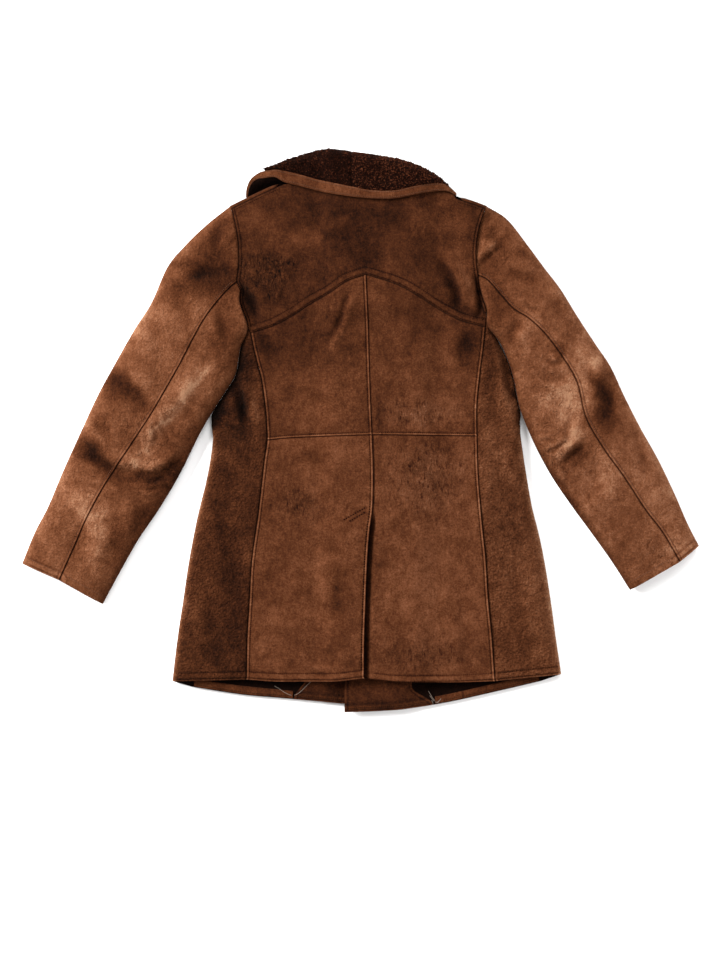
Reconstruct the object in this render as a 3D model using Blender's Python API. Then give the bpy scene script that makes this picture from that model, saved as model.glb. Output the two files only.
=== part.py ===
"""A shearling coat laid flat on its front, with its back up.

+X runs across the coat, +Y from the hem to the collar and +Z up. The floor is
z = 0, and the origin is under the middle of the coat. "Left" is the wearer's
left, which is at -X. Every piece is a wall of shearling: suede outside and
clipped wool inside. Lengths are in millimetres until a mesh is made.
"""
from collections import namedtuple
import math

import bpy
import numpy as np

# ---------------------------------------------------------------- driving sizes
MM = 0.001
FRONT_WALL = 7.0          # shearling of the fronts, pressed by the coat above it
OVERLAP_WALL = 5.5        # the same where the two fronts cross
SIDE_WALL = 7.4           # shearling of the side panels
SLEEVE_WALL = 9.5         # shearling of the sleeves, wool less pressed
LEAF_WALL = 7.0           # the collar's front ends, under the fronts
FACING_WALL = 1.4         # suede facings inside the front edges
BAND_WALL = 1.6           # suede bands inside the front hems
SEAM_GAP = 0.3            # between pieces that are sewn edge to edge
LAYER_GAP = 0.5           # between layers that lie on each other
SHOULDER_ROLL = 5.0       # how far the fronts reach over the shoulder edge
UNDER_REACH = 32.0        # how far the side panels reach under the coat
HEM_BAND_WIDTH = 12.0

BACK_HEIGHT = 18.0        # top of the back where it lies on one front
FRONT_EDGE_RIGHT = -25.0  # x of the right front's free edge
FRONT_EDGE_LEFT = 45.0    # x of the left front's free edge, outside the right one
OVERLAP_RAMP = 34.0       # width over which a layer climbs onto another
VENT_UNDERLAP = 30.0      # width of the underlap beneath the vent's flap
VENT_TOP = -117.0         # y where the vent starts
VENT_RAMP = 36.0          # length over which the flap climbs onto its underlap
UNDERLAP_WALL = 5.5       # the underlap, pressed by the flap
CROSSING_LIFT = OVERLAP_WALL + FACING_WALL + 2 * LAYER_GAP   # right front over left front

# ------------------------------------------------------- tables, one row a level
# The body's seams and edges from the yoke down to the waist and on to the hem.
BodyRow = namedtuple("BodyRow", "edge_left seam_left centre seam_right edge_right")
UPPER_ROWS = [
    BodyRow((-177.6, 150.0), (-170.8, 152.9), (8.6, 242.6), (194.2, 162.2), (213.0, 138.5)),
    BodyRow((-185.5, 131.5), (-167.0, 132.0), (10.6, 200.0), (191.0, 128.0), (227.3, 109.5)),
    BodyRow((-190.0, 104.5), (-160.0, 103.5), (12.3, 160.0), (187.0, 98.0), (237.5, 76.5)),
    BodyRow((-197.0, 80.5), (-154.0, 80.0), (13.3, 120.0), (184.0, 72.0), (242.3, 53.0)),
    BodyRow((-222.5, 40.0), (-148.5, 41.0), (14.5, 80.0), (181.3, 42.0), (246.3, 34.0)),
    BodyRow((-232.5, 14.0), (-146.3, 14.0), (16.2, 35.0), (181.0, 16.0), (249.3, 8.0)),
    BodyRow((-230.5, -12.0), (-145.2, -14.0), (17.9, -6.0), (181.5, -7.8), (250.5, -11.0)),
]
LOWER_ROWS = [
    UPPER_ROWS[-1],
    BodyRow((-234.5, -45.0), (-149.6, -45.2), (19.8, -60.0), (183.1, -64.0), (258.0, -62.0)),
    BodyRow((-241.5, -81.0), (-153.7, -81.1), (18.9, -117.0), (187.0, -117.0), (267.5, -117.0)),
    BodyRow((-254.5, -134.0), (-159.9, -134.2), (14.4, -153.0), (191.0, -160.0), (278.3, -160.0)),
    BodyRow((-267.5, -201.0), (-169.3, -201.2), (10.6, -201.0), (195.2, -201.0), (286.8, -201.0)),
    BodyRow((-277.0, -265.0), (-173.0, -265.0), (8.0, -265.0), (199.0, -262.0), (296.7, -262.0)),
    BodyRow((-286.0, -325.0), (-176.5, -325.0), (6.0, -325.0), (204.5, -320.0), (304.6, -320.0)),
    BodyRow((-293.8, -390.5), (-177.7, -387.5), (5.5, -384.5), (209.5, -390.0), (313.5, -379.5)),
]

# A sleeve from the armhole to the cuff: its outer edge, the back seam that shows,
# its inner edge, its height and the rounding of its two edges.
SleeveRow = namedtuple("SleeveRow", "outer seam inner height round_outer round_inner")
SLEEVE_ROWS = {
    "left": [
        SleeveRow((-203.5, 351.0), (-193.0, 232.4), (-187.0, 220.0), 22.0, 14.0, 1.0),
        SleeveRow((-240.0, 322.0), (-205.0, 221.5), (-187.5, 199.0), 24.0, 20.0, 1.5),
        SleeveRow((-274.0, 289.0), (-222.0, 202.5), (-175.5, 160.5), 26.0, 22.0, 4.0),
        SleeveRow((-301.0, 256.0), (-243.0, 174.0), (-187.0, 131.0), 28.0, 24.0, 14.0),
        SleeveRow((-326.0, 200.0), (-261.0, 142.0), (-191.5, 104.0), 29.0, 24.0, 18.0),
        SleeveRow((-352.0, 159.0), (-281.0, 103.0), (-198.5, 81.0), 29.5, 24.0, 22.0),
        SleeveRow((-380.0, 110.0), (-302.0, 66.0), (-224.0, 41.0), 29.5, 24.0, 24.0),
        SleeveRow((-409.0, 57.0), (-326.0, 25.0), (-251.0, -5.0), 29.0, 24.0, 24.0),
        SleeveRow((-436.0, -1.0), (-363.0, -31.0), (-281.0, -66.0), 28.5, 24.0, 24.0),
        SleeveRow((-464.5, -64.0), (-400.0, -88.0), (-315.0, -123.0), 28.0, 24.0, 24.0),
        SleeveRow((-487.5, -118.6), (-427.5, -139.5), (-345.0, -167.0), 27.0, 22.0, 22.0),
        SleeveRow((-508.0, -158.0), (-446.5, -183.0), (-372.0, -214.0), 26.0, 20.0, 20.0),
        SleeveRow((-528.0, -206.7), (-468.8, -232.4), (-402.2, -269.9), 24.0, 18.0, 18.0),
    ],
    "right": [
        SleeveRow((197.0, 351.0), (183.0, 243.0), (185.5, 226.0), 22.0, 14.0, 1.0),
        SleeveRow((229.0, 330.0), (199.0, 234.0), (190.5, 207.0), 24.0, 20.0, 1.5),
        SleeveRow((262.0, 288.0), (219.0, 211.0), (196.5, 187.0), 26.0, 22.0, 1.5),
        SleeveRow((287.0, 254.0), (238.0, 190.0), (197.5, 164.0), 28.0, 24.0, 3.0),
        SleeveRow((312.0, 221.0), (262.0, 174.5), (216.0, 140.0), 29.0, 24.0, 12.0),
        SleeveRow((338.0, 179.0), (288.0, 149.5), (230.0, 110.0), 29.5, 24.0, 18.0),
        SleeveRow((366.0, 136.0), (315.0, 113.0), (240.0, 77.0), 30.0, 24.0, 22.0),
        SleeveRow((390.0, 100.0), (336.5, 75.0), (249.0, 34.0), 30.0, 24.0, 24.0),
        SleeveRow((412.0, 53.0), (350.0, 21.0), (270.5, -19.0), 29.5, 24.0, 24.0),
        SleeveRow((437.0, 4.0), (378.0, -28.0), (297.0, -69.0), 29.0, 24.0, 24.0),
        SleeveRow((464.0, -44.0), (409.0, -71.0), (328.0, -115.0), 28.0, 24.0, 24.0),
        SleeveRow((489.0, -96.0), (442.5, -122.0), (361.0, -160.0), 27.0, 22.0, 22.0),
        SleeveRow((510.0, -144.0), (470.0, -158.0), (393.0, -205.0), 26.0, 20.0, 20.0),
        SleeveRow((528.0, -178.8), (496.9, -203.7), (420.4, -248.0), 24.0, 18.0, 18.0),
    ],
}
ARMHOLE_BOW = {"left": 8.0, "right": -9.0}   # how far the armhole curves into the back
SHOULDER_COLUMNS = 5                         # columns of a front that end at the shoulder
FACING_COLUMNS = {"left": 4, "right": 5}     # columns of a front that its facing covers
UNDER_SEAM = 0.58                            # where the hidden sleeve seam runs, outer to inner

# The yoke's point: half of its lower edge on each side of the peak.
YOKE_LEFT = [(-170.8, 152.9), (-136.5, 163.8), (-103.7, 181.0), (-77.2, 198.1),
             (-49.1, 213.7), (-21.1, 232.4), (8.6, 242.6)]
YOKE_RIGHT = [(8.6, 242.6), (55.4, 227.8), (88.1, 210.6), (120.9, 190.3),
              (153.7, 173.2), (175.5, 166.9), (194.2, 162.2)]
NECK_LEFT = (-122.5, 388.4)
NECK_RIGHT = (150.5, 366.6)
NECK_BACK = [(-60.0, 390.0), (10.0, 390.0), (80.0, 385.0)]

# The lower edges of the back and, further down, of the fronts, each from left to right.
HEM_LEFT = [(-177.7, -387.5), (-133.4, -390.6), (-94.4, -390.6), (-41.3, -390.0), (5.5, -384.5)]
HEM_RIGHT = [(9.0, -388.4), (60.1, -393.1), (108.4, -393.1), (160.0, -392.5), (209.5, -390.0)]
FRONT_HEM_LEFT = [(-262.0, -399.5), (-185.5, -411.4), (-128.7, -416.5), (-74.9, -421.2),
                  (-25.7, -425.9), (45.0, -430.0)]
FRONT_HEM_RIGHT = [(-25.0, -438.8), (27.3, -436.8), (77.2, -432.9), (139.6, -422.8),
                   (219.2, -405.0), (281.0, -390.5)]
FRONT_NECK_LEFT = [(-112.0, 345.0), (-70.0, 308.0), (-15.0, 298.0), (45.0, 296.0)]
FRONT_NECK_RIGHT = [(135.0, 335.0), (95.0, 306.0), (40.0, 298.0), (-25.0, 296.0)]

# The collar's fall across the back: the binding's two edges and the rolled top.
CollarRow = namedtuple("CollarRow", "x low up roll")
COLLAR_ROWS = [
    CollarRow(-133.0, 394.0, 405.3, 413.5),
    CollarRow(-117.8, 386.0, 403.5, 421.0),
    CollarRow(-94.4, 380.0, 398.0, 429.0),
    CollarRow(-67.9, 373.0, 390.5, 436.6),
    CollarRow(-45.0, 367.5, 385.0, 438.8),
    CollarRow(-14.0, 363.0, 378.5, 434.5),
    CollarRow(20.0, 360.0, 372.5, 430.0),
    CollarRow(54.0, 360.4, 372.8, 424.5),
    CollarRow(82.0, 366.0, 379.0, 416.5),
    CollarRow(108.4, 371.0, 383.8, 404.0),
    CollarRow(125.6, 372.8, 384.0, 391.6),
    CollarRow(136.0, 371.8, 380.5, 382.5),
]
COLLAR_CENTRE_ROW = 5      # the row at the collar's centre-back seam
FALL_LOFT = 9.5            # height of the wool on the fall above the yoke
BINDING_LOFT = 6.5         # height of the binding above the yoke
ROLL_BOTTOM = 7.6          # underside of the roll, just above the collar's front ends

# The binding's left end leaves the back and turns down round the neck's side.
BindingRow = namedtuple("BindingRow", "inner outer bottom top")
BINDING_TAIL = [
    BindingRow((-150.0, 391.5), (-153.0, 403.0), 22.0, 28.0),
    BindingRow((-159.5, 390.0), (-165.5, 395.5), 18.5, 25.5),
    BindingRow((-167.0, 382.5), (-173.5, 387.5), 14.0, 21.5),
    BindingRow((-172.0, 373.0), (-177.5, 376.5), 10.5, 17.5),
    BindingRow((-174.5, 364.0), (-178.8, 366.0), 7.8, 13.5),
]

# The collar's front ends: lower and upper reach at each x.
LeafRow = namedtuple("LeafRow", "x low up")
LEAF_ROWS = {
    "left": [LeafRow(-178.6, 350.0, 368.0), LeafRow(-172.0, 318.0, 386.0),
             LeafRow(-150.0, 272.0, 397.0), LeafRow(-110.0, 281.0, 412.0),
             LeafRow(-60.0, 293.0, 424.0), LeafRow(-14.0, 302.0, 424.0)],
    "right": [LeafRow(-12.0, 302.0, 424.0), LeafRow(40.0, 293.0, 416.0),
              LeafRow(85.0, 282.0, 402.0), LeafRow(122.0, 272.0, 382.0),
              LeafRow(138.0, 300.0, 368.0), LeafRow(146.0, 335.0, 358.0)],
}
NECK_MIDDLE = (-13.0, 330.0)    # the coat stands higher over the collar's front ends
NECK_REACH = (215.0, 130.0)

# The largest folds of the back: a straight trough (negative) or ridge between two ends.
Fold = namedtuple("Fold", "name start end half_width lift")
FOLDS = [
    Fold("yoke trough right", (120.0, 268.0), (152.0, 205.0), 13.0, -3.2),
    Fold("yoke ridge right", (164.0, 275.0), (162.0, 200.0), 15.0, 5.5),
    Fold("yoke trough left", (-184.0, 224.0), (-158.0, 180.0), 14.0, -4.0),
    Fold("blade crease", (-16.0, 212.0), (-50.0, 136.0), 14.0, -2.4),
    Fold("blade ridge", (8.0, 200.0), (-28.0, 130.0), 16.0, 2.4),
    Fold("side trough left", (-192.0, 62.0), (-175.0, 4.0), 13.0, -4.5),
    Fold("side ridge left", (-172.0, 66.0), (-158.0, 10.0), 12.0, 3.6),
    Fold("skirt swell left", (-90.0, -60.0), (-70.0, -330.0), 60.0, 2.5),
    Fold("skirt swell right", (110.0, -70.0), (120.0, -330.0), 60.0, 2.5),
]


# ------------------------------------------------------------------------ curves
def blend(value):
    """A smooth step from 0 to 1."""
    held = np.clip(value, 0.0, 1.0)
    return held * held * (3.0 - 2.0 * held)


def resample(points, count):
    """A polyline of the given number of points, evenly spaced along points."""
    points = np.asarray(points, float)
    lengths = np.linalg.norm(np.diff(points, axis=0), axis=1)
    along = np.concatenate([[0.0], np.cumsum(lengths)])
    stations = np.linspace(0.0, along[-1], count)
    return np.column_stack([np.interp(stations, along, points[:, axis]) for axis in (0, 1)])


def coons(top, bottom, left, right):
    """The plan of a panel between four border curves, as rows from top to bottom."""
    top, bottom, left, right = (np.asarray(border, float) for border in (top, bottom, left, right))
    u = np.linspace(0.0, 1.0, len(top))[None, :, None]
    v = np.linspace(0.0, 1.0, len(left))[:, None, None]
    ruled = (1 - v) * top[None] + v * bottom[None] + (1 - u) * left[:, None] + u * right[:, None]
    corners = ((1 - v) * ((1 - u) * top[0] + u * top[-1])
               + v * ((1 - u) * bottom[0] + u * bottom[-1]))
    return ruled - corners


def trimmed(plan, gap=SEAM_GAP / 2):
    """The plan with its left, right, upper and lower borders drawn in by the gap."""
    plan = plan.copy()
    plan[:, 0, 0] += gap
    plan[:, -1, 0] -= gap
    plan[0, :, 1] -= gap
    plan[-1, :, 1] += gap
    return plan


# ----------------------------------------------------------------------- heights
def neck_lift(x, y, spread):
    """How far the collar's front ends raise what lies on them; the back drapes wider."""
    reach = np.hypot((x - NECK_MIDDLE[0]) / NECK_REACH[0], (y - NECK_MIDDLE[1]) / NECK_REACH[1])
    return (LEAF_WALL + LAYER_GAP) * blend((1.12 + spread - reach) / 0.32)


def front_bottom(side, x, y):
    """Outer skin of a front: on the floor, on the collar's end or on the other front."""
    base = neck_lift(x, y, 0.0)
    if side == "right":
        over = blend((FRONT_EDGE_LEFT + 1.4 * OVERLAP_RAMP - x) / OVERLAP_RAMP)
        base = base + over * CROSSING_LIFT
    return base


def front_wall(x):
    """Thickness of a front, less where the two fronts cross."""
    middle = 0.5 * (FRONT_EDGE_LEFT + FRONT_EDGE_RIGHT)
    half = 0.5 * (FRONT_EDGE_LEFT - FRONT_EDGE_RIGHT)
    crossing = blend((half + OVERLAP_RAMP - np.abs(x - middle)) / OVERLAP_RAMP)
    return FRONT_WALL + crossing * (OVERLAP_WALL - FRONT_WALL)


def stack_top(x, y):
    """Top of all that lies under the back, which drapes wider than the layers it covers."""
    climb = blend((x - FRONT_EDGE_RIGHT + 1.4 * OVERLAP_RAMP) / OVERLAP_RAMP)
    fall = blend((FRONT_EDGE_LEFT + 2.4 * OVERLAP_RAMP - x) / (1.4 * OVERLAP_RAMP))
    facings = blend((x + 160.0) / 40.0) * blend((170.0 - x) / 40.0) * blend((-270.0 - y) / 50.0)
    return (FRONT_WALL + neck_lift(x, y, 0.2) + climb * fall * CROSSING_LIFT
            + facings * (FACING_WALL + SEAM_GAP))


def fold_lift(x, y):
    """The folds' troughs and ridges, each fading out round its line."""
    total = np.zeros_like(x)
    for fold in FOLDS:
        start, end = np.array(fold.start), np.array(fold.end)
        run = end - start
        share = np.clip(((x - start[0]) * run[0] + (y - start[1]) * run[1]) / run.dot(run), 0, 1)
        away = np.hypot(x - start[0] - share * run[0], y - start[1] - share * run[1])
        total = total + fold.lift * np.exp(-(away / fold.half_width) ** 2)
    return total


def back_bottom(x, y):
    """Wool side of the back."""
    return stack_top(x, y) + LAYER_GAP


def back_top(x, y):
    """Suede side of the back: level, raised over the overlap and the neck, and folded."""
    raised = stack_top(x, y) - FRONT_WALL
    thickness = np.maximum(BACK_HEIGHT - FRONT_WALL - LAYER_GAP + fold_lift(x, y), 4.5)
    return FRONT_WALL + LAYER_GAP + raised + thickness


# ------------------------------------------------------------------------ meshes
def material(name, color, roughness):
    made = bpy.data.materials.new(name)
    made.use_nodes = True
    shader = made.node_tree.nodes["Principled BSDF"]
    shader.inputs["Base Color"].default_value = (*color, 1.0)
    shader.inputs["Roughness"].default_value = roughness
    shader.inputs["Metallic"].default_value = 0.0
    return made


def add_object(name, points, faces, color, roughness):
    mesh = bpy.data.meshes.new(name)
    mesh.from_pydata([tuple(MM * point) for point in points], [], faces)
    mesh.update()
    made = bpy.data.objects.new(name, mesh)
    mesh.materials.append(material(name, color, roughness))
    bpy.context.scene.collection.objects.link(made)


def outward(points, faces):
    """The faces, turned so that they look out of the solid."""
    volume = 0.0
    for face in faces:
        first = points[face[0]]
        for second, third in zip(face[1:-1], face[2:]):
            volume += first.dot(np.cross(points[second], points[third]))
    if volume < 0:
        return [face[::-1] for face in faces]
    return faces


def wall(name, outer, inner, color, roughness=0.9):
    """A wall between two grids of points that have the same rows and columns."""
    outer, inner = np.asarray(outer, float), np.asarray(inner, float)
    rows, columns = outer.shape[:2]
    points = np.concatenate([outer.reshape(-1, 3), inner.reshape(-1, 3)])

    def top(row, column):
        return row * columns + column

    def under(row, column):
        return rows * columns + top(row, column)

    faces = []
    for row in range(rows - 1):
        for column in range(columns - 1):
            ring = [(row, column), (row + 1, column), (row + 1, column + 1), (row, column + 1)]
            for cut in ((0, 1, 2), (0, 2, 3)):
                faces.append([top(*ring[k]) for k in cut])
                faces.append([under(*ring[k]) for k in reversed(cut)])
    border = [(0, column) for column in range(columns)]
    border += [(row, columns - 1) for row in range(1, rows)]
    border += [(rows - 1, column) for column in range(columns - 2, -1, -1)]
    border += [(row, 0) for row in range(rows - 2, 0, -1)]
    for here, there in zip(border, border[1:] + border[:1]):
        faces.append([top(*here), top(*there), under(*there)])
        faces.append([top(*here), under(*there), under(*here)])
    add_object(name, points, outward(points, faces), color, roughness)


def loft(name, rings, color, roughness=0.9):
    """A solid through closed rings of the same number of points, with flat ends."""
    rings = np.asarray(rings, float)
    count, size = rings.shape[:2]
    points = rings.reshape(-1, 3)
    faces = []
    for ring in range(count - 1):
        for k in range(size):
            following = (k + 1) % size
            a, b = ring * size + k, ring * size + following
            c, d = b + size, a + size
            faces += [[a, b, c], [a, c, d]]
    faces.append(list(range(size))[::-1])
    faces.append([(count - 1) * size + k for k in range(size)])
    add_object(name, points, outward(points, faces), color, roughness)


def lift(plan, height):
    """Points of a plan grid at the given heights."""
    return np.dstack([plan[:, :, 0], plan[:, :, 1], height])


SUEDE = (0.135, 0.047, 0.021)
SUEDE_LIGHT = (0.23, 0.10, 0.05)
SUEDE_DARK = (0.06, 0.02, 0.01)
WOOL = (0.028, 0.011, 0.007)


# -------------------------------------------------------------------------- back
def back_panel(name, plan):
    plan = trimmed(plan)
    x, y = plan[:, :, 0], plan[:, :, 1]
    wall(name, lift(plan, back_top(x, y)), lift(plan, back_bottom(x, y)), SUEDE)


def sleeve_curve(side, index):
    """A sleeve's section in plan, from the outer edge over the back seam to the inner edge."""
    row = SLEEVE_ROWS[side][index]
    outer, seam = np.array(row.outer), np.array(row.seam)
    bow = {0: ARMHOLE_BOW[side], 1: 0.4 * ARMHOLE_BOW[side]}.get(index, 0.0)
    share = np.linspace(0.0, 1.0, 5)
    points = outer + share[:, None] * (seam - outer)
    points[:, 0] += bow * 4 * share * (1 - share)
    return np.vstack([points, row.inner])


def armhole(side):
    """The armhole from the shoulder to the yoke's corner, shared by back and sleeve."""
    joined = SLEEVE_ROWS[side][1:3]
    corner = UPPER_ROWS[0].seam_left if side == "left" else UPPER_ROWS[0].seam_right
    return np.vstack([sleeve_curve(side, 0), [row.inner for row in joined], corner])


def shoulder(side):
    """The shoulder's silhouette, from the armhole to the neck."""
    neck = NECK_LEFT if side == "left" else NECK_RIGHT
    middle = {"left": (-150.5, 376.5), "right": (178.6, 357.8)}[side]
    return np.array([SLEEVE_ROWS[side][0].outer, middle, neck], float)


def inward(side):
    """Unit vector in plan, square to the shoulder and pointing into the coat."""
    line = shoulder(side)
    run = line[-1] - line[0]
    square = np.array([run[1], -run[0]]) if side == "left" else np.array([-run[1], run[0]])
    return square / np.linalg.norm(square)


def yoke():
    """The pointed yoke between the armholes, from the shoulders and neck to its lower edge."""
    bottom = np.concatenate([YOKE_LEFT, YOKE_RIGHT[1:]])
    shoulder_left = shoulder("left") + inward("left") * (SHOULDER_ROLL + 2 * SEAM_GAP)
    shoulder_right = shoulder("right")[::-1] + inward("right") * (SHOULDER_ROLL + 2 * SEAM_GAP)
    top = resample(np.vstack([shoulder_left, NECK_BACK, shoulder_right]), len(bottom))
    left = armhole("left") + (2 * SEAM_GAP, 0.0)
    right = armhole("right") - (2 * SEAM_GAP, 0.0)
    top[0, 0] += 2 * SEAM_GAP
    top[-1, 0] -= 3 * SEAM_GAP
    left[0], right[0] = top[0], top[-1]
    left[-1], right[-1] = bottom[0], bottom[-1]
    back_panel("back_yoke", coons(top, bottom, left, right))


def upper_backs():
    waist_left = resample([UPPER_ROWS[-1].seam_left, (-99.0, -10.1), UPPER_ROWS[-1].centre],
                          len(YOKE_LEFT))
    waist_right = resample([UPPER_ROWS[-1].centre, UPPER_ROWS[-1].seam_right], len(YOKE_RIGHT))
    seam_left = [row.seam_left for row in UPPER_ROWS]
    seam_right = [row.seam_right for row in UPPER_ROWS]
    centre = [row.centre for row in UPPER_ROWS]
    back_panel("back_upper_left", coons(YOKE_LEFT, waist_left, seam_left, centre))
    back_panel("back_upper_right", coons(YOKE_RIGHT, waist_right, centre, seam_right))
    return waist_left, waist_right


def vent_share(y):
    """0 above the vent and 1 where its flap lies fully on the underlap."""
    return blend((VENT_TOP - y) / VENT_RAMP)


def lower_left(waist):
    """The skirt's left panel, whose free edge is the flap of the vent."""
    hem = resample(HEM_LEFT, len(waist))
    plan = trimmed(coons(waist, hem, [row.seam_left for row in LOWER_ROWS],
                         [row.centre for row in LOWER_ROWS]))
    x, y = plan[:, :, 0], plan[:, :, 1]
    over = blend((x + VENT_UNDERLAP + 20.0) / 24.0)
    climb = over * vent_share(y) * (UNDERLAP_WALL + LAYER_GAP)
    wall("back_lower_left", lift(plan, back_top(x, y) + 0.6 * climb),
         lift(plan, back_bottom(x, y) + climb), SUEDE)


def lower_right(waist):
    """The skirt's right panel, whose underlap lies beneath the flap."""
    hem = resample(HEM_RIGHT, len(waist))
    centre = [row.centre for row in LOWER_ROWS]
    plan = trimmed(coons(waist, hem, centre, [row.seam_right for row in LOWER_ROWS]))
    tuck = np.where(plan[:, 0, 1] < VENT_TOP - VENT_RAMP - 10.0, VENT_UNDERLAP, 1.0)
    lap = plan[:, 0] - np.column_stack([tuck, 0 * tuck])
    plan[:, 0, 0] += 1.0
    lap[:, 0] += 1.0
    plan = np.concatenate([lap[:, None], plan], axis=1)
    x, y = plan[:, :, 0], plan[:, :, 1]
    pressed = blend((plan[:, 1:2, 0] + 22.0 - x) / 18.0) * vent_share(y)
    bottom = back_bottom(x, y)
    top = (1 - pressed) * back_top(x, y) + pressed * (bottom + UNDERLAP_WALL - 0.4)
    wall("back_lower_right", lift(plan, top), lift(plan, bottom), SUEDE)


# ------------------------------------------------------- rounded edges and tubes
def inset_point(line, inset):
    """The point that lies the given distance along a polyline in plan."""
    lengths = np.concatenate([[0.0], np.cumsum(np.linalg.norm(np.diff(line, axis=0), axis=1))])
    return [float(np.interp(inset, lengths, line[:, axis])) for axis in (0, 1)]


def rounded(top_line, under_line, height, rounding, thickness, top_steps, under_steps):
    """A wall's section from its top seam round an edge and on to its seam beneath.

    Both lines start at the edge. Gives the outer and the inner points, in order.
    """
    top_line, under_line = np.asarray(top_line, float), np.asarray(under_line, float)
    top_run = np.linalg.norm(np.diff(top_line, axis=0), axis=1).sum() - SEAM_GAP / 2
    under_run = np.linalg.norm(np.diff(under_line, axis=0), axis=1).sum() - SEAM_GAP / 2
    rounding = min(rounding, 0.8 * top_run)
    thickness = min(thickness, 0.45 * top_run)
    middle = 0.42 * height
    heart = 0.5 * height
    deep = max(rounding - thickness, 0.6)
    under_rounding = min(0.45 * height, 0.6 * under_run)
    outer, inner = [], []

    def add(line, out_inset, out_z, in_inset, in_z):
        outer.append((*inset_point(line, out_inset), out_z))
        inner.append((*inset_point(line, in_inset), in_z))

    for inset in np.linspace(top_run, rounding, top_steps + 1)[:-1]:
        add(top_line, inset, height, max(inset, thickness), height - thickness)
    for angle in np.radians((90.0, 58.0, 28.0)):
        round_in, round_up = 1 - math.cos(angle), math.sin(angle)
        add(top_line, rounding * round_in, middle + (height - middle) * round_up,
            thickness + deep * round_in, heart + (height - thickness - heart) * round_up)
    add(top_line, 0.0, middle, thickness, heart)
    for angle in np.radians((40.0, 90.0)):
        round_in, round_down = 1 - math.cos(angle), math.sin(angle)
        add(under_line, under_rounding * round_in, middle * (1 - round_down),
            thickness + 0.6 * round_in, heart - (heart - thickness) * round_down)
    for inset in np.linspace(under_rounding, under_run, under_steps + 1)[1:]:
        add(under_line, inset, 0.0, max(inset, thickness + 0.7), thickness)
    return outer, inner


def side_panel(side):
    """A side panel: from the back's seam, round the coat's edge, to the seam beneath."""
    outer, inner = [], []
    beneath = side_seam_beneath(side)
    for index, row in enumerate(UPPER_ROWS + LOWER_ROWS[1:]):
        seam = np.array(row.seam_left if side == "left" else row.seam_right, float)
        edge = np.array(row.edge_left if side == "left" else row.edge_right, float)
        top_end = seam - (seam - edge) / np.linalg.norm(seam - edge) * SEAM_GAP
        rounding = 20.0 if index > 3 else 12.0
        ring_out, ring_in = rounded([edge, top_end], [edge, beneath[index]], BACK_HEIGHT,
                                    rounding, SIDE_WALL, 3, 1)
        ring = np.array(ring_out)
        on_top = ring[:, 2] > 0.9 * BACK_HEIGHT
        ring[:, 2] += fold_lift(ring[:, 0], ring[:, 1]) * on_top
        outer.append(ring)
        inner.append(ring_in)
    wall("side_" + side, outer, inner, SUEDE_DARK)


def sleeve(side):
    """The two pieces of a sleeve, which meet in a seam on top and in one beneath."""
    pieces = {"top": ([], []), "under": ([], [])}
    for index, row in enumerate(SLEEVE_ROWS[side]):
        curve = sleeve_curve(side, index)
        length = np.linalg.norm(np.diff(curve, axis=0), axis=1).sum()
        beneath = UNDER_SEAM * length
        from_outer = np.array([inset_point(curve, inset) for inset in np.linspace(0, beneath, 7)])
        from_inner = np.array([inset_point(curve[::-1], inset)
                               for inset in np.linspace(0, length - beneath, 7)])
        for piece, top_line, under_line, rounding, steps in (
                ("top", curve[:-1], from_outer, row.round_outer, 4),
                ("under", curve[:-3:-1], from_inner, row.round_inner, 3)):
            out, into = rounded(top_line, under_line, row.height, rounding, SLEEVE_WALL, steps, 3)
            pieces[piece][0].append(out)
            pieces[piece][1].append(into)
    for piece, (outer, inner) in pieces.items():
        wall("sleeve_" + side + "_" + piece, outer, inner, SUEDE_LIGHT)


# ------------------------------------------------------------------------ fronts
def side_seam_beneath(side):
    """Where the side panel ends beneath the coat, from the armhole to the hem."""
    line = []
    for row in UPPER_ROWS + LOWER_ROWS[1:]:
        seam = np.array(row.seam_left if side == "left" else row.seam_right, float)
        edge = np.array(row.edge_left if side == "left" else row.edge_right, float)
        length = np.linalg.norm(seam - edge)
        line.append(edge + (seam - edge) / length * min(UNDER_REACH, 0.9 * length + 6.0))
    return np.array(line)


def front(side):
    """A front, with its armhole and side seam on one side and its free edge on the other."""
    toward = 1.0 if side == "left" else -1.0
    outer_border = np.vstack([armhole(side)[:-1], side_seam_beneath(side)])
    outer_border[:, 0] += toward * 8 * SEAM_GAP
    hem = np.array(FRONT_HEM_LEFT if side == "left" else FRONT_HEM_RIGHT[::-1], float)
    neck = np.array(FRONT_NECK_LEFT if side == "left" else FRONT_NECK_RIGHT, float)
    edge_x = FRONT_EDGE_LEFT if side == "left" else FRONT_EDGE_RIGHT
    along_shoulder = resample(shoulder(side), SHOULDER_COLUMNS)
    top = np.vstack([along_shoulder, resample(np.vstack([along_shoulder[-1:], neck]), 7)[1:]])
    hem = resample(hem, len(top))
    hem[0], top[0] = outer_border[-1], outer_border[0]
    edge = np.column_stack([np.full(len(outer_border), edge_x),
                            np.linspace(top[-1][1], hem[-1][1], len(outer_border))])
    plan = coons(top, hem, outer_border, edge)
    outer, inner = roll_shoulder(side, plan)
    wall("front_" + side, outer, inner, SUEDE)
    add_facing_and_band(side, inner)


def add_facing_and_band(side, inner):
    """The suede facing and hem band, made from the points of a front's wool side."""
    covered = FACING_COLUMNS[side]
    facing = inner[-3:, -covered:] + (0, 0, SEAM_GAP)
    wall("facing_" + side, facing + (0, 0, FACING_WALL), facing, SUEDE)
    last, before = inner[-1, :-covered], inner[-2, :-covered]
    rise = (HEM_BAND_WIDTH / np.linalg.norm(before - last, axis=1))[:, None]
    band = np.array([last + rise * (before - last), last]) + (0, 0, 2 * SEAM_GAP)
    wall("hem_band_" + side, band + (0, 0, BAND_WALL), band, SUEDE)


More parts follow.
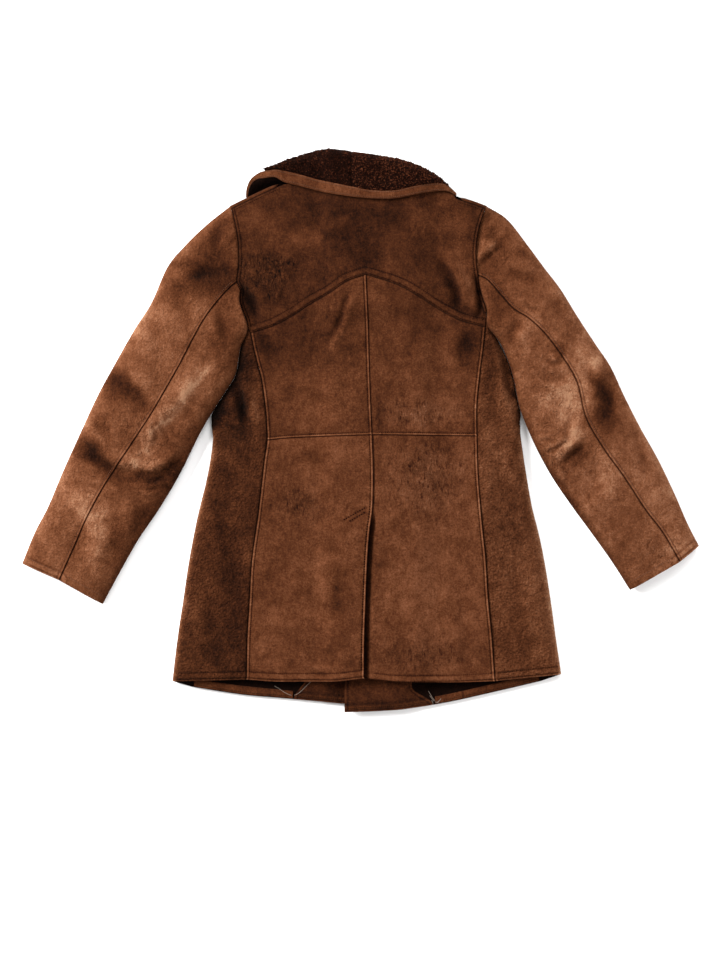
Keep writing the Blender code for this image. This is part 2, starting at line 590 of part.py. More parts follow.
def roll_shoulder(side, plan):
    """The front's skin and wool side, with its shoulder edge rolled up to the yoke."""
    rolled = (np.arange(plan.shape[1]) < SHOULDER_COLUMNS - 1).astype(float)
    into = inward(side)
    x, y = plan[0, :, 0], plan[0, :, 1]
    low = front_bottom(side, x, y)
    high = back_top(x, y) - 0.8
    outer, inner = [], []
    for inset, level, inset_in in ((SHOULDER_ROLL, 1.0, SHOULDER_ROLL), (1.5, 0.93, 6.0),
                                   (0.0, 0.45, 7.0), (4.0, 0.0, 8.0)):
        plain = len(outer)
        flat_out = plan[0] + (rolled * inset + (1 - rolled) * plain)[:, None] * into
        flat_in = plan[0] + (rolled * inset_in + (1 - rolled) * plain)[:, None] * into
        outer.append(np.column_stack([flat_out, low + rolled * level * (high - low)]))
        inner.append(np.column_stack([flat_in, low + front_wall(x)]))
    rest = plan[1:]
    x, y = rest[:, :, 0], rest[:, :, 1]
    bottom = front_bottom(side, x, y)
    return (np.concatenate([outer, lift(rest, bottom)]),
            np.concatenate([inner, lift(rest, bottom + front_wall(x))]))


# ------------------------------------------------------------------------ collar
def seat_of(row):
    """The level on which the collar lies at one of its rows, clear of the yoke."""
    y = np.array([row.low, row.up])
    return float(back_top(np.full(2, row.x), y).max()) + 3 * LAYER_GAP


def collar_fall(name, rows):
    """The wool's reach: on the yoke, over the roll and down behind the neck seam."""
    rings = []
    for row in rows:
        seat = seat_of(row)
        depth = row.roll - row.up
        loft_here = FALL_LOFT * min(1.0, 0.45 + depth / 40.0)
        neck = min(392.5, row.roll - 6.0)
        lip = min(0.35 * depth, 14.0)
        ring = [
            (row.up + SEAM_GAP, seat),
            (neck, seat),
            (neck, ROLL_BOTTOM),
            (row.roll - 0.30 * lip - 3.0, ROLL_BOTTOM),
            (row.roll - 0.5, ROLL_BOTTOM + 5.0),
            (row.roll, 0.5 * (ROLL_BOTTOM + seat)),
            (row.roll - 0.35 * lip, seat + 0.55 * loft_here),
            (row.roll - lip, seat + loft_here),
            (row.up + 0.4 * lip, seat + loft_here),
            (row.up + SEAM_GAP, seat + 0.7 * loft_here),
        ]
        if neck < row.up + 1.0:
            ring[1] = (row.up + 0.8, seat)
            ring[2] = (row.up + 0.8, ROLL_BOTTOM + 5.0)
        rings.append([(row.x, y, z) for y, z in ring])
    loft(name, rings, WOOL, 1.0)


def collar_binding():
    """The suede band round the free edge, down round the neck's left side."""
    rings = []
    end = COLLAR_ROWS[-1]
    rows = [CollarRow(149.0, 365.8, 369.2, 0.0), CollarRow(143.5, 368.6, 374.6, 0.0)]
    rows += reversed(COLLAR_ROWS)
    for row in rows:
        seat = seat_of(row)
        thick = BINDING_LOFT if row.x <= end.x else 3.5
        rings.append([(row.x, row.low, seat), (row.x, row.up, seat),
                      (row.x, row.up, seat + thick), (row.x, row.low, seat + 0.8 * thick)])
    for row in BINDING_TAIL:
        rings.append([(*row.inner, row.bottom), (*row.outer, row.bottom),
                      (*row.outer, row.top - 1.0), (*row.inner, row.top)])
    loft("collar_binding", rings, SUEDE, 0.85)


def collar_leaf(side):
    """A front end of the collar, flat on the floor beneath the front."""
    rings = [[(row.x, row.low, 0.0), (row.x, row.up, 0.0),
              (row.x, row.up, LEAF_WALL), (row.x, row.low, LEAF_WALL)]
             for row in LEAF_ROWS[side]]
    loft("collar_leaf_" + side, rings, WOOL, 1.0)


# -------------------------------------------------------------------------- coat
def build():
    for old in list(bpy.data.objects):
        bpy.data.objects.remove(old, do_unlink=True)
    yoke()
    waist_left, waist_right = upper_backs()
    lower_left(waist_left)
    lower_right(waist_right)
    for side in ("left", "right"):
        side_panel(side)
        sleeve(side)
        front(side)
        collar_leaf(side)
    split = COLLAR_CENTRE_ROW
    middle = COLLAR_ROWS[split]
    collar_fall("collar_fall_left", COLLAR_ROWS[:split] + [middle._replace(x=middle.x - SEAM_GAP)])
    collar_fall("collar_fall_right", COLLAR_ROWS[split:])
    collar_binding()


build()
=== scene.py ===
"""The looks of a shearling coat that lies flat on its front, back up.

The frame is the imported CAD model: metres, +X across the coat, +Y from the hem to
the collar, +Z up, the floor at z = 0. "Left" is the wearer's left, at -X. Tables
and lengths here are in millimetres until a mesh is made. Every piece is a wall of
shearling, suede outside and wool inside, finer than its CAD solid and in its place.
"""
from collections import namedtuple
import math

import bpy
import numpy as np
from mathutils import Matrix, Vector
from mathutils.bvhtree import BVHTree


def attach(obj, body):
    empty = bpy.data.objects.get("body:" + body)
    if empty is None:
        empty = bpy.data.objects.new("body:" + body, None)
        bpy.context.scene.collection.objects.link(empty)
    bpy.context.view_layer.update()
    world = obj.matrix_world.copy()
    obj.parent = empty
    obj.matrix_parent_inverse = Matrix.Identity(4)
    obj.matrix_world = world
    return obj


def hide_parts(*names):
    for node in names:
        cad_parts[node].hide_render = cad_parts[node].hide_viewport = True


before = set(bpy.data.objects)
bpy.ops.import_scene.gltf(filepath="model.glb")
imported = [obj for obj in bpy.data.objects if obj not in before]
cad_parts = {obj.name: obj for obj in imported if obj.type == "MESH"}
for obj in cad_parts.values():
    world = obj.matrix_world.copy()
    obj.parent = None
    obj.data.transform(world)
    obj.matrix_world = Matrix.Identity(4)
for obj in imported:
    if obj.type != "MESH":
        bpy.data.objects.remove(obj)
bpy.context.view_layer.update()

# ------------------------------------------------- driving sizes, as in the CAD
MM = 0.001
INTO = {"left": 1.0, "right": -1.0}     # the way into the coat, along x
SIDES = tuple(INTO)
FRONT_WALL = 7.0
OVERLAP_WALL = 5.5
SIDE_WALL = 7.4
SLEEVE_WALL = 9.5
LEAF_WALL = 7.0
FACING_WALL = 1.4
BAND_WALL = 1.6
SEAM_GAP = 0.3
LAYER_GAP = 0.5
SHOULDER_ROLL = 5.0
UNDER_REACH = 32.0
HEM_BAND_WIDTH = 12.0
BACK_HEIGHT = 18.0
FRONT_EDGE = {"left": 45.0, "right": -25.0}
OVERLAP_RAMP = 34.0
VENT_UNDERLAP = 30.0
VENT_TOP = -117.0
VENT_RAMP = 36.0
UNDERLAP_WALL = 5.5
VENT_TACKS = [[(-27.0, -139.0), (8.0, -119.0)], [(-18.0, -141.0), (7.5, -126.5)]]
CROSSING_LIFT = OVERLAP_WALL + FACING_WALL + 2 * LAYER_GAP
UNDER_SEAM = 0.58
ARMHOLE_BOW = {"left": 8.0, "right": -9.0}
FALL_LOFT = 9.5
BINDING_LOFT = 6.5
ROLL_BOTTOM = 7.6
NECK_MIDDLE = (-13.0, 330.0)
NECK_REACH = (215.0, 130.0)

# --------------------------------------------------------- sizes of the finish
FINE = 2.8               # spacing of the points on the suede that shows
COARSE = 4.6             # and on what lies beneath the coat
SKIN = 1.6               # thickness of the suede at a cut edge; the rest is wool
LIP_RADIUS = 1.5         # rounding of an edge that laps over its neighbour
LIP_RISE = 0.6           # how far such an edge stands up
SEAM_SINK = 1.0          # how far the lower of the two edges dips
STITCH_INSET = 4.4       # from a lapped edge to its stitching
YOKE_ROWS = (2.4, 11.5)  # stitched rows above the yoke's lower edge
Thread = namedtuple("Thread", "pitch length radius")
FINE_THREAD = Thread(3.2, 2.0, 0.55)
COARSE_THREAD = Thread(3.9, 2.4, 1.1)
LOOSE_THREAD = Thread(2.2, 3.0, 0.34)
HEM_ROWS = (3.2, 12.6)   # stitched rows above a hem
LIGHT_LEVEL = 2.3        # the studio against what makes white paper just white
CREASE_DEPTH = 1.7       # on the depths and ridges in the table of creases
FOLD_PAINTED_LIGHT = 0.032        # painted highlight on a ridge and painted shade in a trough, per millimetre
DEEPEST_FOLD = 5.5
THINNEST = 2.5           # of the back's wall under a deep crease
VENT_PRESS = 0.6         # how much of the underlap's height shows in the flap
TOUCH = 0.35             # left between two parts that lie against each other

# ------------------------------------------------------- tables, as in the CAD
BodyRow = namedtuple("BodyRow", "edge_left seam_left centre seam_right edge_right")
BODY_ROWS = [BodyRow(*row) for row in [
    ((-177.6, 150.0), (-170.8, 152.9), (8.6, 242.6), (194.2, 162.2), (213.0, 138.5)),
    ((-185.5, 131.5), (-167.0, 132.0), (10.6, 200.0), (191.0, 128.0), (227.3, 109.5)),
    ((-190.0, 104.5), (-160.0, 103.5), (12.3, 160.0), (187.0, 98.0), (237.5, 76.5)),
    ((-197.0, 80.5), (-154.0, 80.0), (13.3, 120.0), (184.0, 72.0), (242.3, 53.0)),
    ((-222.5, 40.0), (-148.5, 41.0), (14.5, 80.0), (181.3, 42.0), (246.3, 34.0)),
    ((-232.5, 14.0), (-146.3, 14.0), (16.2, 35.0), (181.0, 16.0), (249.3, 8.0)),
    ((-230.5, -12.0), (-145.2, -14.0), (17.9, -6.0), (181.5, -7.8), (250.5, -11.0)),
    ((-234.5, -45.0), (-149.6, -45.2), (19.8, -60.0), (183.1, -64.0), (258.0, -62.0)),
    ((-241.5, -81.0), (-153.7, -81.1), (18.9, -117.0), (187.0, -117.0), (267.5, -117.0)),
    ((-254.5, -134.0), (-159.9, -134.2), (14.4, -153.0), (191.0, -160.0), (278.3, -160.0)),
    ((-267.5, -201.0), (-169.3, -201.2), (10.6, -201.0), (195.2, -201.0), (286.8, -201.0)),
    ((-277.0, -265.0), (-173.0, -265.0), (8.0, -265.0), (199.0, -262.0), (296.7, -262.0)),
    ((-286.0, -325.0), (-176.5, -325.0), (6.0, -325.0), (204.5, -320.0), (304.6, -320.0)),
    ((-293.8, -390.5), (-177.7, -387.5), (5.5, -384.5), (209.5, -390.0), (313.5, -379.5)),
]]
BACK_PARTS = ("back_yoke", "back_upper_left", "back_upper_right", "back_lower_left",
              "back_lower_right")
WAIST_ROW = 6
HEM_ROW = len(BODY_ROWS) - 1

SleeveRow = namedtuple("SleeveRow", "outer seam inner height round_outer round_inner")
SLEEVE_ROWS = {
    "left": [
        ((-203.5, 351.0), (-193.0, 232.4), (-187.0, 220.0), 22.0, 14.0, 1.0),
        ((-240.0, 322.0), (-205.0, 221.5), (-187.5, 199.0), 24.0, 20.0, 1.5),
        ((-274.0, 289.0), (-222.0, 202.5), (-175.5, 160.5), 26.0, 22.0, 4.0),
        ((-301.0, 256.0), (-243.0, 174.0), (-187.0, 131.0), 28.0, 24.0, 14.0),
        ((-326.0, 200.0), (-261.0, 142.0), (-191.5, 104.0), 29.0, 24.0, 18.0),
        ((-352.0, 159.0), (-281.0, 103.0), (-198.5, 81.0), 29.5, 24.0, 22.0),
        ((-380.0, 110.0), (-302.0, 66.0), (-224.0, 41.0), 29.5, 24.0, 24.0),
        ((-409.0, 57.0), (-326.0, 25.0), (-251.0, -5.0), 29.0, 24.0, 24.0),
        ((-436.0, -1.0), (-363.0, -31.0), (-281.0, -66.0), 28.5, 24.0, 24.0),
        ((-464.5, -64.0), (-400.0, -88.0), (-315.0, -123.0), 28.0, 24.0, 24.0),
        ((-487.5, -118.6), (-427.5, -139.5), (-345.0, -167.0), 27.0, 22.0, 22.0),
        ((-508.0, -158.0), (-446.5, -183.0), (-372.0, -214.0), 26.0, 20.0, 20.0),
        ((-528.0, -206.7), (-468.8, -232.4), (-402.2, -269.9), 24.0, 18.0, 18.0),
    ],
    "right": [
        ((197.0, 351.0), (183.0, 243.0), (185.5, 226.0), 22.0, 14.0, 1.0),
        ((229.0, 330.0), (199.0, 234.0), (190.5, 207.0), 24.0, 20.0, 1.5),
        ((262.0, 288.0), (219.0, 211.0), (196.5, 187.0), 26.0, 22.0, 1.5),
        ((287.0, 254.0), (238.0, 190.0), (197.5, 164.0), 28.0, 24.0, 3.0),
        ((312.0, 221.0), (262.0, 174.5), (216.0, 140.0), 29.0, 24.0, 12.0),
        ((338.0, 179.0), (288.0, 149.5), (230.0, 110.0), 29.5, 24.0, 18.0),
        ((366.0, 136.0), (315.0, 113.0), (240.0, 77.0), 30.0, 24.0, 22.0),
        ((390.0, 100.0), (336.5, 75.0), (249.0, 34.0), 30.0, 24.0, 24.0),
        ((412.0, 53.0), (350.0, 21.0), (270.5, -19.0), 29.5, 24.0, 24.0),
        ((437.0, 4.0), (378.0, -28.0), (297.0, -69.0), 29.0, 24.0, 24.0),
        ((464.0, -44.0), (409.0, -71.0), (328.0, -115.0), 28.0, 24.0, 24.0),
        ((489.0, -96.0), (442.5, -122.0), (361.0, -160.0), 27.0, 22.0, 22.0),
        ((510.0, -144.0), (470.0, -158.0), (393.0, -205.0), 26.0, 20.0, 20.0),
        ((528.0, -178.8), (496.9, -203.7), (420.4, -248.0), 24.0, 18.0, 18.0),
    ],
}
SLEEVE_ROWS = {side: [SleeveRow(*row) for row in rows] for side, rows in SLEEVE_ROWS.items()}
JOINED_ROWS = 3     # rows of a sleeve whose inner end lies on the armhole

YOKE_EDGE = {
    "left": [(-170.8, 152.9), (-136.5, 163.8), (-103.7, 181.0), (-77.2, 198.1),
             (-49.1, 213.7), (-21.1, 232.4), (8.6, 242.6)],
    "right": [(8.6, 242.6), (55.4, 227.8), (88.1, 210.6), (120.9, 190.3),
              (153.7, 173.2), (175.5, 166.9), (194.2, 162.2)],
}
NECK_END = {"left": (-122.5, 388.4), "right": (150.5, 366.6)}
NECK_BACK = [(-60.0, 390.0), (10.0, 390.0), (80.0, 385.0), (112.0, 380.0), (132.0, 374.0),
             (145.0, 368.0)]
SHOULDER_MIDDLE = {"left": (-150.5, 376.5), "right": (178.6, 357.8)}
BACK_HEM = {
    "left": [(-177.7, -387.5), (-133.4, -390.6), (-94.4, -390.6), (-41.3, -390.0), (5.5, -384.5)],
    "right": [(9.0, -388.4), (60.1, -393.1), (108.4, -393.1), (160.0, -392.5), (209.5, -390.0)],
}
FRONT_HEM = {
    "left": [(-262.0, -399.5), (-185.5, -411.4), (-128.7, -416.5), (-74.9, -421.2),
             (-25.7, -425.9), (45.0, -430.0)],
    "right": [(281.0, -390.5), (219.2, -405.0), (139.6, -422.8), (77.2, -432.9),
              (27.3, -436.8), (-25.0, -438.8)],
}
FRONT_NECK = {
    "left": [(-112.0, 345.0), (-70.0, 308.0), (-15.0, 298.0), (45.0, 296.0)],
    "right": [(135.0, 335.0), (95.0, 306.0), (40.0, 298.0), (-25.0, 296.0)],
}
FACING_REACH = {"left": (-86.0, -104.0), "right": (80.0, 113.0)}   # x above and at the hem
FACING_RISE = 120.0
BAND_JOIN = {"left": -142.0, "right": 160.0}   # x where two lengths of hem band meet

CollarRow = namedtuple("CollarRow", "x low up roll")
COLLAR_ROWS = [
    CollarRow(-133.0, 394.0, 405.3, 413.5),
    CollarRow(-117.8, 386.0, 403.5, 421.0),
    CollarRow(-94.4, 380.0, 398.0, 429.0),
    CollarRow(-67.9, 373.0, 390.5, 436.6),
    CollarRow(-45.0, 367.5, 385.0, 438.8),
    CollarRow(-14.0, 363.0, 378.5, 434.5),
    CollarRow(20.0, 360.0, 372.5, 430.0),
    CollarRow(54.0, 360.4, 372.8, 424.5),
    CollarRow(82.0, 366.0, 379.0, 416.5),
    CollarRow(108.4, 371.0, 383.8, 404.0),
    CollarRow(125.6, 372.8, 384.0, 391.6),
    CollarRow(136.0, 371.8, 380.5, 382.5),
]
COLLAR_CENTRE_ROW = 5
FALL_TIP = CollarRow(-149.0, 396.0, 405.0, 408.0)
BindingRow = namedtuple("BindingRow", "inner outer bottom top")
BINDING_TAIL = [
    BindingRow((-150.0, 393.0), (-153.0, 403.5), 22.0, 28.0),
    BindingRow((-160.5, 391.8), (-165.5, 397.0), 18.5, 25.5),
    BindingRow((-169.0, 386.0), (-173.3, 389.0), 14.0, 21.5),
    BindingRow((-174.0, 376.0), (-177.8, 377.6), 10.5, 17.5),
    BindingRow((-176.0, 364.5), (-179.2, 365.5), 7.8, 13.5),
]
LeafRow = namedtuple("LeafRow", "x low up")
LEAF_ROWS = {
    "left": [LeafRow(-178.6, 350.0, 371.0), LeafRow(-172.0, 318.0, 389.0),
             LeafRow(-150.0, 272.0, 402.0), LeafRow(-110.0, 281.0, 412.0),
             LeafRow(-60.0, 293.0, 424.0), LeafRow(-14.0, 302.0, 424.0)],
    "right": [LeafRow(-12.0, 302.0, 424.0), LeafRow(40.0, 293.0, 416.0),
              LeafRow(85.0, 282.0, 402.0), LeafRow(122.0, 272.0, 382.0),
              LeafRow(139.0, 300.0, 376.0), LeafRow(150.0, 335.0, 368.5)],
}

# -------------------------------------------------------- creases
# A trough along a line, with a softer ridge beside it. A positive ridge side is
# to the left of the line's own direction. All tables here are by the part of the coat.
Crease = namedtuple("Crease", "line width depth ridge side")
CREASES = {
    "back": [
        # yoke
        ([(120, 272), (137, 244), (149, 218), (153, 196), (172, 182)], 8.0, 4.6, 4.2, 1),
        ([(178, 246), (184, 215), (186, 190), (182, 176)], 4.5, 5.0, 1.4, -1),
        ([(-189, 228), (-176, 212), (-166, 196), (-162, 174)], 6.5, 4.2, 1.8, 1),
        ([(-62, 300), (-30, 306), (6, 296), (20, 278)], 14.0, 1.2, 0.8, 1),
        ([(-20, 270), (4, 262), (22, 266)], 9.0, 1.1, 0.7, -1),
        ([(60, 330), (84, 306), (104, 288)], 13.0, 1.1, 0.9, 1),
        ([(-120, 318), (-84, 312), (-50, 322)], 11.0, 0.9, 0.7, -1),
        ([(28, 285), (34, 262), (30, 246)], 8.0, 0.9, 0.8, 1),
        # upper back
        ([(-14, 218), (-24, 198), (-33, 168), (-54, 132)], 4.6, 2.4, 2.2, 1),
        ([(-150, 150), (-138, 132), (-134, 108)], 8.0, 1.3, 0.8, 1),
        ([(170, 158), (160, 130), (156, 98)], 9.0, 1.6, 1.2, -1),
        ([(96, 170), (82, 140), (74, 106)], 10.0, 1.0, 0.8, 1),
        ([(-110, 60), (-60, 52), (-20, 58)], 12.0, 0.8, 0.5, 1),
        # skirt
        ([(-128, -30), (-104, -66), (-94, -110)], 12.0, 1.0, 0.8, 1),
        ([(-40, -170), (-34, -230), (-40, -300)], 13.0, 1.4, 1.2, -1),
        ([(70, -40), (92, -100), (96, -160)], 14.0, 0.9, 0.7, 1),
        ([(150, -250), (164, -300), (168, -350)], 10.0, 1.2, 0.9, -1),
        ([(-150, -300), (-120, -316), (-92, -310)], 9.0, 0.8, 0.6, 1),
        ([(-90, -366), (-70, -378), (-46, -380)], 5.0, 1.2, 0.9, 1),
    ],
    "side_left": [
        ([(-193, 78), (-186, 44), (-178, 18), (-173, 0)], 7.0, 5.4, 3.8, 1),
        ([(-208, 12), (-190, 2), (-172, -8)], 3.5, 1.2, 0.8, 1),
        ([(-202, -2), (-188, -14), (-176, -17)], 3.2, 1.1, 0.8, -1),
        ([(-194, 24), (-184, 14), (-182, 2)], 3.0, 1.0, 0.7, 1),
        ([(-206, -150), (-196, -200), (-200, -250)], 12.0, 1.3, 1.0, 1),
        ([(-240, -250), (-230, -310), (-236, -350)], 12.0, 1.2, 0.9, -1),
    ],
    "side_right": [
        ([(218, 132), (228, 92), (236, 48)], 7.0, 2.6, 1.6, -1),
        ([(204, 60), (214, 20), (226, -16)], 10.0, 1.5, 1.2, 1),
        ([(210, -40), (216, -70), (212, -98)], 9.0, 1.3, 1.0, -1),
        ([(214, -120), (224, -150), (222, -186)], 6.0, 1.0, 0.8, 1),
        ([(238, -200), (246, -260), (240, -320)], 12.0, 1.6, 1.2, 1),
    ],
    "sleeve_left": [
        ([(-448, -10), (-424, -30), (-386, -62), (-340, -72)], 11.0, 5.0, 3.6, 1),
        ([(-404, -44), (-384, -62), (-372, -72)], 6.0, 2.2, 1.2, 1),
        ([(-398, 96), (-372, 76), (-346, 50), (-334, 28)], 12.0, 3.4, 2.2, 1),
        ([(-232, 96), (-262, 46), (-300, 4), (-326, -34)], 12.0, 2.0, 3.2, -1),
        ([(-350, -60), (-326, -70), (-296, -56), (-274, -34)], 6.5, 3.0, 2.6, 1),
        ([(-345, -12), (-341, -28), (-336, -44)], 2.6, 1.5, 1.0, 1),
        ([(-326, 12), (-318, -4), (-322, -22)], 3.4, 1.6, 1.2, -1),
        ([(-312, 8), (-300, -14), (-292, -30)], 3.2, 1.6, 1.1, 1),
        ([(-348, -72), (-332, -80), (-312, -74), (-296, -64)], 3.6, 2.0, 1.5, 1),
        ([(-344, -84), (-328, -92), (-310, -88)], 3.2, 1.6, 1.2, -1),
        ([(-318, -52), (-302, -60), (-290, -72)], 3.0, 1.7, 1.2, 1),
        ([(-306, -78), (-298, -92), (-302, -104)], 3.0, 1.3, 1.0, 1),
        ([(-286, 46), (-268, 30), (-256, 8)], 6.0, 1.8, 1.6, 1),
        ([(-420, 40), (-404, 6), (-396, -24)], 13.0, 2.2, 1.8, -1),
        ([(-216, 322), (-226, 296), (-214, 266)], 8.0, 2.0, 1.5, 1),
        ([(-286, 262), (-258, 246), (-220, 250)], 9.0, 3.0, 2.0, -1),
        ([(-290, 226), (-276, 196), (-268, 172)], 11.0, 1.8, 1.5, 1),
        ([(-222, 186), (-214, 160), (-206, 136)], 7.0, 2.4, 1.5, -1),
        ([(-340, 180), (-316, 150), (-306, 118)], 12.0, 1.6, 1.6, -1),
        ([(-462, -112), (-436, -160), (-450, -204)], 15.0, 1.8, 1.4, 1),
        ([(-394, -128), (-380, -170), (-396, -214)], 14.0, 2.0, 1.4, -1),
        ([(-352, -100), (-338, -134), (-350, -176)], 12.0, 2.2, 1.2, -1),
    ],
    "sleeve_right": [
        ([(186, 258), (198, 272), (218, 290)], 5.0, 4.2, 2.8, 1),
        ([(192, 302), (201, 299), (208, 306)], 4.0, 2.2, 1.4, 1),
        ([(206, 318), (214, 296), (226, 284)], 9.0, 2.6, 2.0, -1),
        ([(230, 252), (252, 240), (276, 236)], 9.0, 2.0, 1.4, 1),
        ([(258, 200), (264, 190), (274, 186)], 3.4, 2.4, 1.2, 1),
        ([(286, 206), (304, 196), (318, 180)], 10.0, 1.8, 1.5, 1),
        ([(250, 176), (236, 150), (240, 124)], 8.0, 2.2, 1.8, 1),
        ([(286, 112), (298, 104), (314, 108)], 4.0, 1.6, 1.2, 1),
        ([(276, 92), (296, 80), (322, 84)], 9.0, 1.8, 1.5, -1),
        ([(314, -52), (326, -38), (346, -20)], 6.0, 4.2, 3.4, 1),
        ([(290, -36), (308, -26), (324, -14)], 4.0, 2.2, 2.0, 1),
        ([(306, -50), (318, -62), (322, -78)], 4.0, 1.8, 1.4, -1),
        ([(276, -18), (290, -14), (302, -18)], 2.6, 1.4, 1.0, 1),
        ([(330, 22), (322, 0), (326, -18)], 6.0, 2.2, 2.4, 1),
        ([(300, -70), (318, -88), (326, -104)], 4.0, 1.6, 1.2, 1),
        ([(346, 108), (362, 80), (376, 62)], 8.0, 1.8, 2.2, 1),
        ([(378, 84), (384, 50), (376, 14)], 14.0, 3.4, 2.2, -1),
        ([(366, -50), (362, -86), (346, -112)], 13.0, 2.0, 1.8, 1),
        ([(316, -104), (336, -136), (362, -170)], 12.0, 1.8, 1.4, 1),
        ([(444, -160), (451, -184), (467, -197), (478, -186)], 2.4, 1.2, 0.8, 1),
        ([(452, -196), (440, -206), (446, -218)], 2.2, 1.0, 0.7, 1),
        ([(430, 0), (440, -40), (456, -70)], 12.0, 1.9, 1.5, 1),
    ],
    "under": [
        # beneath, where the fronts lie on the floor: troughs lift the suede off it
        ([(-170, 214), (-120, 190), (-84, 140)], 14.0, 2.0, 0.0, 1),
        ([(172, 206), (126, 176), (98, 128)], 13.0, 1.9, 0.0, 1),
        ([(-196, 40), (-150, 24), (-96, 30)], 10.0, 1.6, 0.0, 1),
        ([(214, 44), (168, 20), (124, 26)], 11.0, 1.7, 0.0, 1),
        ([(-120, -60), (-104, -170), (-122, -300)], 22.0, 1.8, 0.0, 1),
        ([(150, -80), (170, -190), (160, -330)], 20.0, 1.8, 0.0, 1),
        ([(-20, 230), (-8, 120), (-16, 10)], 12.0, 1.2, 0.0, 1),
        ([(-230, -120), (-214, -220), (-226, -330)], 14.0, 1.4, 0.0, 1),
        ([(-420, -10), (-372, -46), (-330, -60)], 10.0, 2.0, 0.0, 1),
        ([(-300, 200), (-262, 150), (-240, 90)], 12.0, 1.6, 0.0, 1),
        ([(300, -30), (346, -14), (398, 14)], 10.0, 2.0, 0.0, 1),
        ([(290, 200), (270, 140), (300, 84)], 12.0, 1.6, 0.0, 1),
        ([(-470, -130), (-430, -180), (-440, -220)], 12.0, 1.2, 0.0, 1),
        ([(440, -90), (430, -150), (462, -190)], 12.0, 1.2, 0.0, 1),
    ],
}

# Fields of small wrinkles: many short creases side by side, drawn from one seed.
WrinkleField = namedtuple("WrinkleField", "x y reach_x reach_y turn length count depth seed")
WRINKLES = {
    "back": [
        (-128, 238, 44, 34, 82, 30, 34, 1.2, 11), (-136, 258, 40, 14, 8, 26, 16, 0.6, 12),
        (-60, 150, 40, 60, 70, 22, 14, 0.35, 13), (96, -70, 60, 50, 85, 18, 22, 0.4, 14),
        (-88, -118, 40, 26, 75, 16, 18, 0.4, 15), (104, -352, 70, 18, 86, 16, 22, 0.4, 16),
    ],
    "side_left": [
        (-196, -8, 26, 24, 30, 18, 16, 0.7, 17), (-236, -350, 44, 26, 75, 14, 20, 0.45, 18),
    ],
    "side_right": [
        (226, -130, 30, 60, 60, 18, 26, 0.55, 19),
    ],
    "sleeve_left": [
        (-320, -70, 30, 20, 20, 18, 18, 0.8, 20), (-330, 0, 36, 34, 110, 22, 12, 0.6, 21),
        (-232, 280, 20, 30, 60, 22, 10, 0.6, 25),
    ],
    "sleeve_right": [
        (322, -36, 30, 22, 40, 16, 18, 0.8, 22), (290, 60, 30, 40, 20, 26, 14, 0.5, 23),
        (458, -184, 18, 20, 30, 14, 8, 0.5, 24), (206, 300, 12, 30, 70, 18, 10, 0.7, 26),
    ],
}
